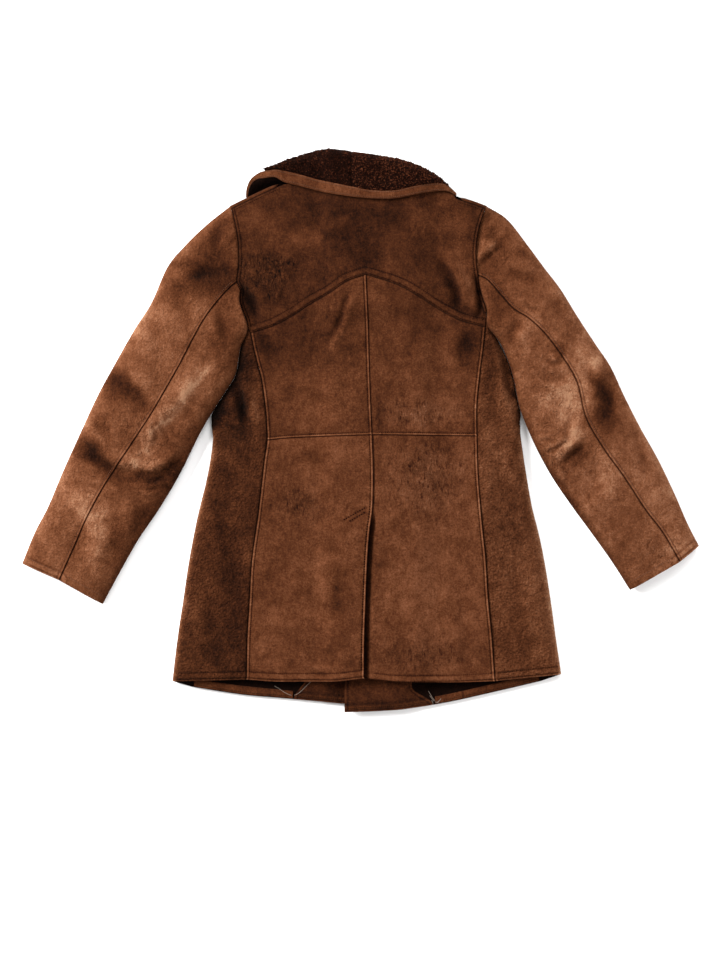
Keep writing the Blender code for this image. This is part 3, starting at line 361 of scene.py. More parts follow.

# ----------------------------------------------- paler and darker places: wear, painted shade and painted highlight
# Tone runs from 0, nearly black, to 1, the palest worn suede.
BASE_TONE = {"yoke": 0.42, "upper": 0.51, "lower": 0.585, "side_left": 0.44, "side_right": 0.61,
             "sleeve_left": 0.69, "sleeve_right": 0.69, "front": 0.5, "trim": 0.45, "binding": 0.57}
Patch = namedtuple("Patch", "x y reach_x reach_y turn change")
# Some patches are painted light: the darker ones beneath the collar, along deep folds and under the arms
# are painted shade, and the narrow pale streaks across the sleeves' ridges are painted highlight; the
# others are paler and darker places of the suede.
PATCHES = {
    "yoke": [
        # painted shadow beneath the collar along the top; painted shade along the folds by the armholes
        (-20, 330, 70, 34, -10, -0.05), (-30, 342, 110, 14, -6, -0.07), (6, 290, 30, 30, 0, -0.06),
        (10, 262, 26, 22, 0, -0.07), (-36, 292, 22, 9, 20, -0.05), (124, 240, 20, 50, 24, -0.07),
        (144, 214, 12, 36, 20, -0.06), (-140, 242, 44, 30, 0, 0.06), (-176, 206, 14, 30, 30, -0.16),
        (-74, 306, 40, 12, 8, 0.09), (-150, 326, 30, 26, 0, 0.05), (-60, 206, 40, 18, 32, 0.05),
        (42, 286, 10, 26, 0, 0.07), (106, 326, 40, 20, -10, 0.07), (156, 300, 18, 40, 0, 0.09),
        (164, 228, 9, 36, 12, 0.06), (84, 196, 40, 14, -26, 0.05), (-166, 330, 20, 20, 0, 0.06),
        (150, 250, 50, 70, 0, 0.03), (77, 326, 22, 20, 0, 0.035), (112, 214, 60, 44, -20, 0.06),
        (-60, 226, 70, 44, 20, -0.06), (0, 336, 60, 24, 0, -0.04),
    ],
    "upper": [
        (-106, 132, 26, 30, 0, -0.07), (-13, 158, 16, 40, 0, -0.06), (100, 24, 46, 30, 0, 0.12),
        (90, 26, 70, 22, 0, 0.14), (172, 134, 10, 22, 0, -0.10), (-120, 150, 50, 26, 30, -0.10),
        (-154, 130, 16, 50, 0, -0.10), (-30, 190, 12, 40, -18, -0.06), (-60, 60, 70, 44, 0, 0.05),
        (-60, 20, 80, 16, 0, 0.04), (60, 160, 40, 50, 0, -0.03), (166, 150, 26, 40, 0, -0.12),
        (110, 60, 60, 50, 0, 0.05), (60, 110, 50, 40, 0, 0.04), (28, 20, 20, 20, 0, -0.03),
    ],
    "lower": [
        (-79, -37, 26, 16, 0, -0.11), (-94, -334, 40, 30, 0, -0.07), (108, -330, 50, 40, 0, 0.06),
        (-106, -40, 24, 20, 0, -0.06), (-50, -40, 40, 24, 0, 0.05), (-98, -114, 30, 24, 20, 0.04),
        (-38, -250, 6, 38, 4, -0.06), (-100, -330, 60, 50, 0, 0.04), (-36, -240, 14, 70, 0, -0.04),
        (-90, -200, 60, 50, 0, 0.02), (104, -66, 60, 56, 0, 0.11), (100, -210, 80, 190, 0, 0.04),
        (100, -240, 60, 60, 0, 0.03), (66, -150, 20, 16, 0, -0.05), (148, -296, 10, 10, 0, -0.06),
        (90, -330, 60, 40, 0, -0.02), (34, -200, 10, 26, 0, -0.08),
    ],
    "side_left": [
        # the darkest patches, along the edge beneath the sleeve, are painted shade
        (-210, 72, 64, 15, 67, -0.52), (-184, 44, 44, 9, 78, -0.18), (-182, 84, 12, 30, 0, -0.08),
        (-230, -200, 20, 40, 0, -0.04), (-236, 16, 26, 7, 80, -0.25), (-163, 36, 8, 34, 0, 0.17),
        (-246, -150, 18, 120, 10, 0.06), (-204, -230, 22, 90, 8, -0.07), (-262, -320, 18, 60, 0, 0.05),
        (-210, -340, 30, 30, 0, -0.03),
    ],
    "side_right": [
        # the first two patches, under the arm, are painted shade
        (204, 100, 16, 60, 0, -0.26), (247, 44, 56, 7, -77, -0.42), (214, -30, 26, 30, 0, 0.05),
        (250, -130, 22, 60, 0, -0.04), (244, -220, 22, 40, 0, 0.05), (236, -320, 24, 60, 0, -0.06),
        (222, -230, 14, 60, 0, 0.04), (290, -300, 14, 80, 0, 0.04), (246, -210, 24, 60, 0, 0.06),
    ],
    "sleeve_left": [
        # painted shade in the troughs, near the armhole and along the inner edge; the narrow pale
        # streaks across the ridges are painted highlight
        (-326, 180, 44, 60, 0, 0.06), (-290, 48, 24, 40, -30, 0.10), (-226, 290, 34, 80, -20, -0.13),
        (-262, 236, 20, 12, 20, -0.10), (-244, 88, 30, 6, 52, 0.14), (-272, 50, 24, 7, 55, 0.16),
        (-306, 6, 30, 7, 48, 0.15), (-338, -36, 18, 7, 44, 0.12), (-268, -10, 26, 9, 58, -0.12),
        (-420, -20, 14, 14, 0, -0.15), (-375, -61, 12, 12, 0, 0.05), (-344, -108, 18, 18, 0, 0.04),
        (-289, 48, 18, 18, 0, -0.10), (-328, 142, 24, 22, 0, -0.05), (-300, 0, 150, 190, 0, -0.03),
        (-219, 318, 26, 40, -30, -0.16), (-250, 236, 44, 24, 20, -0.27), (-206, 240, 22, 34, 0, -0.20),
        (-300, 240, 20, 40, 0, -0.06), (-326, 150, 26, 40, 30, 0.09), (-212, 142, 18, 60, 0, -0.16),
        (-388, 76, 22, 34, 20, -0.20), (-352, 60, 24, 12, -40, -0.11), (-252, 74, 46, 13, 54, 0.13),
        (-292, 22, 36, 16, 50, 0.10), (-330, -24, 26, 16, 40, 0.13), (-352, -50, 12, 8, 0, 0.16),
        (-412, -36, 40, 18, -34, -0.23), (-340, -74, 40, 9, 4, -0.19), (-292, -60, 22, 14, 30, -0.16),
        (-440, -120, 26, 50, 30, 0.16), (-404, -124, 14, 26, 20, 0.11), (-344, -128, 20, 60, -34, -0.19),
        (-400, -200, 30, 24, 0, -0.04), (-490, -176, 16, 30, 20, 0.04),
    ],
    "sleeve_right": [
        # painted shade in the troughs, near the armhole and along the inner edge; the narrow pale
        # streaks across the ridges are painted highlight
        (370, 20, 160, 220, 0, 0.05), (311, 41, 22, 34, -10, 0.02), (318, -22, 20, 6, 44, 0.17),
        (334, 8, 8, 26, -6, 0.14), (470, -190, 26, 16, 30, 0.08), (380, -60, 20, 30, 0, 0.06),
        (444, -200, 26, 22, 0, 0.08), (378, 44, 20, 40, 0, -0.10), (210, 200, 22, 60, 0, -0.08),
        (226, 330, 18, 34, -30, -0.16), (212, 302, 30, 7, 66, 0.14), (206, 262, 22, 18, 0, -0.17),
        (190, 318, 8, 30, 0, -0.11), (258, 262, 40, 24, -50, -0.11), (216, 200, 18, 50, 20, -0.12),
        (300, 180, 30, 30, -40, 0.03), (256, 120, 20, 40, 0, 0.03), (350, 110, 26, 18, -60, 0.20),
        (380, 44, 20, 54, 6, -0.31), (316, 44, 22, 44, -10, 0.19), (324, -20, 22, 9, 46, 0.15),
        (344, -36, 22, 12, 40, -0.19), (372, -60, 24, 36, -20, 0.09), (310, -96, 14, 50, 35, -0.16),
        (420, -130, 24, 40, 20, -0.08), (420, -200, 30, 24, 0, -0.06), (452, -90, 22, 60, 25, 0.09),
        (496, -170, 20, 34, 0, 0.12),
    ],
    "trim": [
        (-40, -408, 40, 20, 0, -0.04),
    ],
    "front": [
        (-120, 120, 90, 80, 0, 0.05), (120, 60, 90, 90, 0, -0.04), (-140, -240, 80, 90, 0, -0.05),
        (130, -260, 80, 90, 0, 0.05), (0, -60, 40, 200, 0, 0.04), (-180, 230, 50, 40, 0, -0.08),
    ],
}

# Fields of small dark flecks, drawn from one seed each.
Flecks = namedtuple("Flecks", "x y reach_x reach_y turn size count change seed")
FLECKS = {
    "lower": [
        (106, -40, 44, 26, 86, 7, 30, -0.12, 31), (120, -104, 26, 28, 86, 7, 18, -0.13, 32),
        (-96, -110, 30, 20, 62, 8, 22, -0.10, 33), (60, -300, 60, 60, 80, 5, 16, -0.10, 34),
    ],
    "upper": [
        (88, 26, 60, 18, 80, 5, 20, -0.13, 35), (-70, 110, 60, 60, 70, 5, 16, -0.08, 36),
    ],
    "yoke": [
        (60, 280, 60, 60, 70, 5, 16, -0.07, 37),
    ],
    "side_right": [
        (236, -120, 24, 90, 80, 6, 22, -0.12, 38),
    ],
    "side_left": [
        (-216, -160, 24, 110, 80, 6, 22, -0.10, 39),
    ],
    "sleeve_left": [
        (-330, 20, 50, 60, 60, 7, 22, -0.12, 40), (-420, -130, 40, 60, 60, 7, 18, -0.10, 41),
    ],
    "sleeve_right": [
        (290, 130, 40, 60, 110, 7, 22, -0.12, 42), (400, -110, 50, 70, 110, 7, 22, -0.10, 43),
    ],
}

# Places where the hide is cracked into fine wrinkles; the change is how strongly.
CRACKLES = {
    "yoke": [
        (-142, 236, 36, 26, 0, 1.1), (-130, 262, 42, 14, 0, 0.8), (-182, 260, 10, 40, 0, 0.5),
    ],
    "upper": [
        (-60, 150, 50, 60, 0, 0.3), (90, 26, 70, 20, 0, 0.8),
    ],
    "lower": [
        (-96, -112, 34, 24, 0, 0.9), (104, -74, 56, 56, 0, 1.0), (100, -350, 80, 26, 0, 0.6),
    ],
    "side_left": [
        (-192, 0, 24, 30, 0, 0.9), (-230, -330, 50, 50, 0, 0.5),
    ],
    "side_right": [
        (232, -150, 40, 110, 0, 0.7),
    ],
    "sleeve_left": [
        (-322, -66, 40, 30, 0, 1.0), (-330, 10, 60, 50, 0, 0.8), (-420, -30, 40, 40, 0, 0.6),
        (-230, 260, 36, 50, 0, 0.7), (-300, 160, 60, 60, 0, 0.4), (-410, -140, 60, 60, 0, 0.4),
    ],
    "sleeve_right": [
        (318, -40, 40, 34, 0, 1.0), (300, 60, 36, 70, 0, 0.8), (460, -190, 34, 30, 0, 0.9),
        (210, 290, 24, 44, 0, 0.8), (300, 190, 50, 50, 0, 0.5), (400, -60, 50, 80, 0, 0.4),
    ],
}

# The palette of the suede from dark to worn, as sRGB.
PALETTE = [
    (0.00, (12, 4, 2)), (0.20, (38, 17, 8)), (0.35, (64, 32, 16)), (0.50, (89, 48, 26)),
    (0.60, (107, 61, 36)), (0.72, (129, 78, 50)), (0.85, (156, 101, 71)), (1.00, (192, 140, 106)),
]


# ------------------------------------------------------------------------ curves
def blend(value):
    """A smooth step from 0 to 1."""
    held = np.clip(value, 0.0, 1.0)
    return held * held * (3.0 - 2.0 * held)


def bell(distance, width):
    """1 at no distance, falling off smoothly over the width."""
    return np.exp(-(distance / width) ** 2)


def smooth_at(table, stations):
    """Rows of a table at fractional row numbers, on a smooth curve through its rows."""
    table = np.asarray(table, float)
    padded = np.vstack([2 * table[0] - table[1], table, 2 * table[-1] - table[-2]])
    whole = np.clip(np.floor(stations).astype(int), 0, len(table) - 2)
    t = (stations - whole)[:, None]
    a, b, c, d = (padded[whole + step] for step in range(4))
    return 0.5 * (2 * b + (c - a) * t + (2 * a - 5 * b + 4 * c - d) * t ** 2
                  + (3 * b - a - 3 * c + d) * t ** 3)


def lengths_along(points):
    """The distance from the first point to each point of a polyline."""
    steps = np.linalg.norm(np.diff(points, axis=0), axis=1)
    return np.concatenate([[0.0], np.cumsum(steps)])


def at_shares(points, shares):
    """Points of a polyline at shares of its length."""
    points = np.asarray(points, float)
    along = lengths_along(points)
    return np.column_stack([np.interp(np.asarray(shares) * along[-1], along, points[:, axis])
                            for axis in range(points.shape[1])])


def at_inset(line, inset):
    """Points of a polyline at distances from its start."""
    along = lengths_along(line)
    return np.column_stack([np.interp(inset, along, line[:, axis]) for axis in (0, 1)])


def smooth(points, count=120):
    """Evenly spaced points of a smooth curve through the given ones."""
    dense = smooth_at(points, np.linspace(0, len(points) - 1, 12 * len(points)))
    return at_shares(dense, np.linspace(0, 1, count))


NEAR = np.array([0.0, 0.5, 1.1, 2.0, 3.2, 4.4, 5.7, 7.6])   # points close to a border


def spaced(length, step, dense_start=True, dense_end=True):
    """Shares from 0 to 1, even in the middle and close together near dense borders."""
    start = NEAR if dense_start else NEAR[:1]
    end = length - NEAR[::-1] if dense_end else np.array([length])
    count = max(2, int(round((end[0] - start[-1]) / step)) + 1)
    middle = np.linspace(start[-1], end[0], count)[1:-1]
    return np.concatenate([start, middle, end]) / length


def coons(top, bottom, left, right, step, dense=(True, True, True, True)):
    """The plan of a panel between four border curves, as rows from top to bottom."""
    across = 0.5 * (lengths_along(top)[-1] + lengths_along(bottom)[-1])
    down = 0.5 * (lengths_along(left)[-1] + lengths_along(right)[-1])
    u = spaced(across, step, dense[2], dense[3])
    v = spaced(down, step, dense[0], dense[1])
    top, bottom, left, right = (at_shares(border, shares) for border, shares
                                in ((top, u), (bottom, u), (left, v), (right, v)))
    u, v = u[None, :, None], v[:, None, None]
    ruled = (1 - v) * top[None] + v * bottom[None] + (1 - u) * left[:, None] + u * right[:, None]
    corners = ((1 - v) * ((1 - u) * top[0] + u * top[-1])
               + v * ((1 - u) * bottom[0] + u * bottom[-1]))
    return ruled - corners


def trimmed(plan, gap=SEAM_GAP / 2):
    """The plan with its left, right, upper and lower borders drawn in by the gap."""
    plan = plan.copy()
    plan[:, 0, 0] += gap
    plan[:, -1, 0] -= gap
    plan[0, :, 1] -= gap
    plan[-1, :, 1] += gap
    return plan


def body_line(column, first, last):
    """One seam or edge of the body between two levels."""
    table = [getattr(row, column) for row in BODY_ROWS]
    dense = smooth_at(table, np.linspace(first, last, 20 * (last - first) + 1))
    return at_shares(dense, np.linspace(0, 1, 160))


# ------------------------------------------------------------------------ fields
def away(x, y, curve):
    """Distance in plan to a polyline."""
    best = np.full(x.shape, 1e12)
    for (ax, ay), (bx, by) in zip(curve[:-1], curve[1:]):
        run_x, run_y = bx - ax, by - ay
        square = run_x * run_x + run_y * run_y + 1e-9
        share = np.clip(((x - ax) * run_x + (y - ay) * run_y) / square, 0, 1)
        best = np.minimum(best, (x - ax - share * run_x) ** 2 + (y - ay - share * run_y) ** 2)
    return np.sqrt(best)


def lattice(i, j, seed):
    """A repeatable number from -1 to 1 for a lattice point."""
    wave = np.sin(i * 127.1 + j * 311.7 + seed * 74.7) * 43758.5453
    return 2.0 * (wave - np.floor(wave)) - 1.0


def noise(x, y, size, seed):
    """Soft noise from -1 to 1 with features of about the given size."""
    u, v = x / size + 0.37 * seed, y / size - 0.21 * seed
    i, j = np.floor(u), np.floor(v)
    su, sv = blend(u - i), blend(v - j)
    upper = (1 - su) * lattice(i, j, seed) + su * lattice(i + 1, j, seed)
    lower = (1 - su) * lattice(i, j + 1, seed) + su * lattice(i + 1, j + 1, seed)
    return (1 - sv) * upper + sv * lower


RIDGE_BESIDE = 1.7       # from the trough to its ridge, in widths of the trough
RIDGE_BREADTH = 1.35
CREASE_REACH = 4.0


def crease_lift(x, y, crease):
    """How far one crease moves the surface up or down."""
    line = smooth(crease.line, 13)
    reach = CREASE_REACH * crease.width
    near = ((x > line[:, 0].min() - reach) & (x < line[:, 0].max() + reach)
            & (y > line[:, 1].min() - reach) & (y < line[:, 1].max() + reach))
    lift = np.zeros_like(x)
    if not near.any():
        return lift
    px, py = x[near], y[near]
    best = np.full(px.shape, 1e12)
    offset, along = np.zeros_like(px), np.zeros_like(px)
    total = lengths_along(line)
    for index in range(len(line) - 1):
        start, run = line[index], line[index + 1] - line[index]
        span = math.hypot(*run)
        share = np.clip(((px - start[0]) * run[0] + (py - start[1]) * run[1]) / span ** 2, 0, 1)
        dx, dy = px - start[0] - share * run[0], py - start[1] - share * run[1]
        square = dx * dx + dy * dy
        closer = square < best
        best = np.where(closer, square, best)
        offset = np.where(closer, (run[0] * dy - run[1] * dx) / span, offset)
        along = np.where(closer, (total[index] + share * span) / total[-1], along)
    taper = np.sin(np.pi * np.clip(along, 0.02, 0.98)) ** 0.55
    taper = taper * (1.0 + 0.25 * noise(px, py, 23.0, len(line)))
    distance = np.sqrt(best)
    beside = crease.side * offset - RIDGE_BESIDE * crease.width
    past = np.maximum(distance - np.abs(offset), 0.0)
    ridge = np.exp(-(beside / (RIDGE_BREADTH * crease.width)) ** 2 - (past / crease.width) ** 2)
    trough = bell(distance, crease.width)
    lift[near] = CREASE_DEPTH * taper * (crease.ridge * ridge - crease.depth * trough)
    return lift


def wrinkle_creases(field):
    """The short creases of a wrinkle field."""
    draw = np.random.default_rng(field.seed)
    made = []
    for _ in range(field.count):
        angle = math.radians(field.turn + draw.normal(0.0, 16.0))
        length = field.length * draw.uniform(0.5, 1.3)
        across, along = draw.uniform(-1, 1, 2)
        middle = np.array([field.x + across * field.reach_x, field.y + along * field.reach_y])
        run = np.array([math.cos(angle), math.sin(angle)]) * length / 2
        bend = np.array([-run[1], run[0]]) * draw.uniform(-0.3, 0.3)
        depth = field.depth * draw.uniform(0.4, 1.0) * (1.1 - 0.6 * max(abs(across), abs(along)))
        made.append(Crease([middle - run, middle + bend, middle + run],
                           draw.uniform(1.6, 3.2), depth, 0.6 * depth, draw.choice([-1, 1])))
    return made


def with_drawn(rows, fields, draw_all):
    """A part's listed rows, and after them those drawn from its fields."""
    return rows + [made for field in fields for made in draw_all(field)]


ALL_CREASES = {place: with_drawn([Crease(*row) for row in rows],
                                 [WrinkleField(*row) for row in WRINKLES.get(place, [])],
                                 wrinkle_creases)
               for place, rows in CREASES.items()}


def folds_of(place, x, y):
    """All creases of a part of the coat; troughs stay shallower than the wall."""
    total = np.zeros_like(x)
    for crease in ALL_CREASES[place]:
        total += crease_lift(x, y, crease)
    return np.where(total < 0.0, DEEPEST_FOLD * np.tanh(total / DEEPEST_FOLD), total)


HIDE_SWELLS = ((0.9, 78.0), (0.5, 31.0), (0.2, 12.0), (0.09, 6.0))   # height and size


def hide(x, y, seed=0.0):
    """Soft unevenness of a hide that has been worn and laid down."""
    return sum(height * noise(x, y, size, number + seed)
               for number, (height, size) in enumerate(HIDE_SWELLS, 1))


def fleck_patches(field):
    """The small dark patches of a field of flecks."""
    draw = np.random.default_rng(field.seed)
    made = []
    for _ in range(field.count):
        across, along, bold = draw.uniform(-1, 1), draw.uniform(-1, 1), draw.uniform(0.5, 1.2)
        made.append(Patch(field.x + across * field.reach_x,
                          field.y + along * field.reach_y, bold * field.size,
                          draw.uniform(1.8, 3.2), field.turn + draw.normal(0.0, 18.0),
                          bold * field.change))
    return made


ALL_PATCHES = {place: with_drawn([Patch(*row) for row in PATCHES.get(place, [])],
                                 [Flecks(*row) for row in FLECKS.get(place, [])], fleck_patches)
               for place in BASE_TONE}
ALL_CRACKLES = {place: [Patch(*row) for row in rows] for place, rows in CRACKLES.items()}


def patched(patches, x, y):
    """The sum of some patches, with uneven edges."""
    warp_x = x + 7.0 * noise(x, y, 17.0, 31) + 3.0 * noise(x, y, 6.5, 32)
    warp_y = y + 7.0 * noise(x, y, 17.0, 33) + 3.0 * noise(x, y, 6.5, 34)
    total = np.zeros_like(x)
    for patch in patches:
        angle = math.radians(patch.turn)
        dx, dy = warp_x - patch.x, warp_y - patch.y
        along = (dx * math.cos(angle) + dy * math.sin(angle)) / patch.reach_x
        across = (dy * math.cos(angle) - dx * math.sin(angle)) / patch.reach_y
        total += patch.change * np.exp(-(along ** 2 + across ** 2))
    return total


def tone_of(place, x, y):
    """Paler and darker places of some part of the coat, among them painted shade and painted highlight.
    """
    blotches = 0.036 * noise(x, y, 46.0, 41) + 0.034 * noise(x, y, 19.0, 42)
    return (BASE_TONE[place] + patched(ALL_PATCHES[place], x, y) + blotches
            + 0.024 * noise(x, y, 8.0, 43))


# ----------------------------------------------------------- levels, as in the CAD
def neck_lift(x, y, spread):
    """How far the collar's front ends raise what lies on them; the back drapes wider."""
    reach = np.hypot((x - NECK_MIDDLE[0]) / NECK_REACH[0], (y - NECK_MIDDLE[1]) / NECK_REACH[1])
    return (LEAF_WALL + LAYER_GAP) * blend((1.12 + spread - reach) / 0.32)


def front_bottom(side, x, y):
    """Outer skin of a front: on the floor, on the collar's end or on the other front."""
    base = neck_lift(x, y, 0.0)
    if side == "right":
        over = blend((FRONT_EDGE["left"] + 1.4 * OVERLAP_RAMP - x) / OVERLAP_RAMP)
        base = base + over * CROSSING_LIFT
    return base


def front_wall(x):
    """Thickness of a front, less where the two fronts cross."""
    middle = 0.5 * (FRONT_EDGE["left"] + FRONT_EDGE["right"])
    half = 0.5 * (FRONT_EDGE["left"] - FRONT_EDGE["right"])
    crossing = blend((half + OVERLAP_RAMP - np.abs(x - middle)) / OVERLAP_RAMP)
    return FRONT_WALL + crossing * (OVERLAP_WALL - FRONT_WALL)


def stack_top(x, y):
    """Top of all that lies under the back, which drapes wider than the layers it covers."""
    climb = blend((x - FRONT_EDGE["right"] + 1.4 * OVERLAP_RAMP) / OVERLAP_RAMP)
    fall = blend((FRONT_EDGE["left"] + 2.4 * OVERLAP_RAMP - x) / (1.4 * OVERLAP_RAMP))
    facings = blend((x + 160.0) / 40.0) * blend((170.0 - x) / 40.0) * blend((-270.0 - y) / 50.0)
    return (FRONT_WALL + neck_lift(x, y, 0.2) + climb * fall * CROSSING_LIFT
            + facings * (FACING_WALL + SEAM_GAP))


def back_bottom(x, y):
    """Wool side of the back."""
    return stack_top(x, y) + LAYER_GAP


def back_top(x, y):
    """Suede side of the back before its creases."""
    return back_bottom(x, y) + BACK_HEIGHT - FRONT_WALL - LAYER_GAP


# --------------------------------------------------------------------- materials
def linear(color):
    """Reflectance of a colour given as it looks in the studio, in sRGB from 0 to 255."""
    shown = [((c / 255 + 0.055) / 1.055) ** 2.4 if c > 10 else c / 255 / 12.92 for c in color]
    return [value / LIGHT_LEVEL for value in shown]


class Value:
    """A number that varies over a surface; arithmetic on it makes math nodes."""

    def __init__(self, tree, socket):
        self.tree = tree
        self.socket = socket

    def math(self, operation, first, second):
        """The outcome of a math node of two terms."""
        node = self.tree.nodes.new("ShaderNodeMath")
        node.operation = operation
        for term, target in zip((first, second), node.inputs):
            join(self.tree, term, target)
        return Value(self.tree, node.outputs[0])

    def __add__(self, other):
        return self.math("ADD", self, other)

    def __sub__(self, other):
        return self.math("SUBTRACT", self, other)

    def __rsub__(self, other):
        return self.math("SUBTRACT", other, self)

    def __mul__(self, other):
        return self.math("MULTIPLY", self, other)

    def at_least(self, low):
        """The value, or the low limit where that is more."""
        return self.math("MAXIMUM", self, low)

    def at_most(self, high):
        """The value, or the high limit where that is less."""
        return self.math("MINIMUM", self, high)

    def size(self):
        """The value without its sign."""
        return self.math("ABSOLUTE", self, 0.0)

    def swing(self, amount):
        """A noise from 0 to 1, turned into a swing round 0."""
        return (self - 0.5) * amount


def join(tree, source, target):
    """Sets a socket to a number, or links a value or a socket to it."""
    if isinstance(source, (int, float)):
        target.default_value = source
    else:
        tree.links.new(getattr(source, "socket", source), target)


class Nodes:
    """A few words for building a node tree."""

    def __init__(self, name):
        self.material = bpy.data.materials.new(name)
        self.material.use_nodes = True
        self.tree = self.material.node_tree
        self.shader = self.tree.nodes["Principled BSDF"]
        self.place = self.tree.nodes.new("ShaderNodeTexCoord").outputs["Object"]

    def new(self, kind, **inputs):
        """A node with some of its inputs set or linked by name."""
        node = self.tree.nodes.new("ShaderNode" + kind)
        for name, value in inputs.items():
            join(self.tree, value, node.inputs[name])
        return node

    def noise(self, scale, detail=3.0, roughness=0.55, stretch=(1, 1, 1), distortion=0.0):
        """A noise from 0 to 1 through the space that the piece fills."""
        mapping = self.new("Mapping", Vector=self.place)
        mapping.inputs["Scale"].default_value = stretch
        node = self.new("TexNoise", Vector=mapping.outputs["Vector"], Scale=scale, Detail=detail,
                        Roughness=roughness, Distortion=distortion)
        return Value(self.tree, node.outputs["Fac"])

    def cells(self, scale):
        """Soft round cells: low in the middle of each and high between them."""
        node = self.new("TexVoronoi", Vector=self.place, Scale=scale)
        node.feature = "SMOOTH_F1"
        return Value(self.tree, node.outputs["Distance"])

    def net(self, scale, width):
        """A wandering, broken net of fine lines: 1 on a line and 0 beside it."""
        wander = self.new("TexNoise", Vector=self.place, Scale=0.9 * scale)
        moved = self.tree.nodes.new("ShaderNodeVectorMath")
        moved.operation = "MULTIPLY_ADD"
        join(self.tree, wander.outputs["Color"], moved.inputs[0])
        moved.inputs[1].default_value = (0.7 / scale, 0.7 / scale, 0.0)
        join(self.tree, self.place, moved.inputs[2])
        node = self.new("TexVoronoi", Vector=moved.outputs["Vector"], Scale=scale)
        node.feature = "DISTANCE_TO_EDGE"
        beside = Value(self.tree, node.outputs["Distance"]) * (1.0 / width)
        lines = 1.0 - beside.at_most(1.0)
        parts = (self.noise(0.8 * scale, 2.0, 0.5) - 0.46).at_least(0.0) * 6.0
        return lines * parts.at_most(1.0)

    def attribute(self, name):
        """A number that the mesh carries at its points."""
        node = self.new("Attribute")
        node.attribute_name = name
        return Value(self.tree, node.outputs["Fac"])

    def color(self, value, stops):
        """Colours the surface by a value, between stops of a position and a colour."""
        node = self.new("ValToRGB", Fac=value)
        ramp = node.color_ramp
        while len(ramp.elements) < len(stops):
            ramp.elements.new(0.5)
        for element, (position, color) in zip(ramp.elements, stops):
            element.position = position
            element.color = (*linear(color), 1.0)
        join(self.tree, node.outputs["Color"], self.shader.inputs["Base Color"])

    def bump(self, height, distance, strength=1.0):
        """Fine relief by a height."""
        node = self.new("Bump", Distance=distance, Strength=strength, Height=height)
        join(self.tree, node.outputs["Normal"], self.shader.inputs["Normal"])

    def finish(self, roughness, sheen, sheen_roughness, sheen_tint, specular):
        """Sets the gloss and the sheen, and gives the material."""
        for name, value in (("Roughness", roughness), ("Sheen Weight", sheen),
                            ("Sheen Roughness", sheen_roughness),
                            ("Specular IOR Level", specular)):
            join(self.tree, value, self.shader.inputs[name])
        self.shader.inputs["Sheen Tint"].default_value = (*sheen_tint, 1.0)
        return self.material


def suede(name, pebble, grit=1.0, wrinkled=1.0, netted=0.9, flecked=0.0):
    """Worn suede: mottled and napped, pebbled where coarse.

    Where the hide is cracked it is wrinkled, netted with fine creases and flecked.
    """
    n = Nodes(name)
    clouds = n.noise(42.0, 10.0, 0.64, distortion=0.3)
    mottle = n.noise(150.0, 5.0, 0.62, distortion=0.6)
    grain = n.noise(360.0, 4.0, 0.68)
    strokes = n.noise(190.0, 4.0, 0.6, stretch=(1.0, 0.4, 1.0), distortion=0.4)
    nap = n.noise(1500.0, 2.0, 0.6)
    tone = n.attribute("tone")
    for texture, amount in ((clouds, 0.44), (mottle, 0.22 * grit), (grain, 0.48 * grit),
                            (strokes, 0.24), (nap, 0.20)):
        tone = tone + texture.swing(amount)
    for stains, level, strength in ((n.noise(620.0, 2.0, 0.5), 0.60, 1.1),
                                    (n.noise(70.0, 7.0, 0.68, distortion=0.8), 0.57, 0.8)):
        tone = tone - (stains - level).at_least(0.0) * strength
    crackle = n.attribute("crackle")
    lines = n.noise(280.0, 2.0, 0.5, stretch=(1.0, 0.32, 1.0), distortion=0.9)
    wrinkles = 1.0 - ((lines - 0.5).size() * 9.0).at_most(1.0)
    cracks = (wrinkles * wrinkled + n.net(84.0, 0.10) * netted) * crackle
    tone = tone - cracks * 0.12
    flecks = n.noise(230.0, 3.0, 0.6, stretch=(1.0, 0.36, 1.0)) - 0.55
    tone = tone - flecks.at_least(0.0) * crackle * flecked
    n.color(tone, PALETTE)
    pebbles = n.cells(300.0) * pebble
    height = grain * 1.1 + nap * 0.4 + pebbles + mottle * 0.9 - cracks * 1.4
    n.bump(height, 0.0018 * grit ** 2)
    return n.finish(mottle.swing(0.25) + 0.82, 0.02, 0.42, (0.80, 0.46, 0.28), 0.02)


def wool(name, dark, light):
    """Clipped wool: dark at the root and paler where the tips catch the light."""
    n = Nodes(name)
    curls = n.noise(330.0, 3.0, 0.7, distortion=1.2)
    locks = n.noise(90.0, 3.0, 0.6)
    middle = [0.5 * (a + b) for a, b in zip(dark, light)]
    n.color(curls * 0.75 + locks * 0.35, [(0.34, dark), (0.56, middle), (0.78, light)])
    n.bump(curls + n.cells(240.0), 0.0016, 0.9)
    return n.finish(0.95, 0.02, 0.5, (0.7, 0.4, 0.3), 0.01)


def tuft_wool():
    """The tufts' wool, each a little different, with painted shade at the root and a painted highlight
    toward its tip.
    """
    n = Nodes("wool_tufts")
    n.color(n.attribute("tone") + n.noise(500.0, 2.0).swing(0.3),
            [(0.0, (8, 3, 2)), (0.3, (27, 12, 7)), (0.62, (60, 28, 17)), (1.0, (116, 66, 44))])
    return n.finish(0.9, 0.02, 0.45, (0.75, 0.45, 0.32), 0.01)


def plain_thread(name, color, specular=0.15):
    """Twisted thread, a little darker between its strands."""
    n = Nodes(name)
    dark = tuple(0.55 * c for c in color)
    n.color(n.noise(2600.0, 1.0), [(0.3, dark), (0.7, color)])
    return n.finish(0.8, 0.0, 0.5, (0.6, 0.4, 0.3), specular)


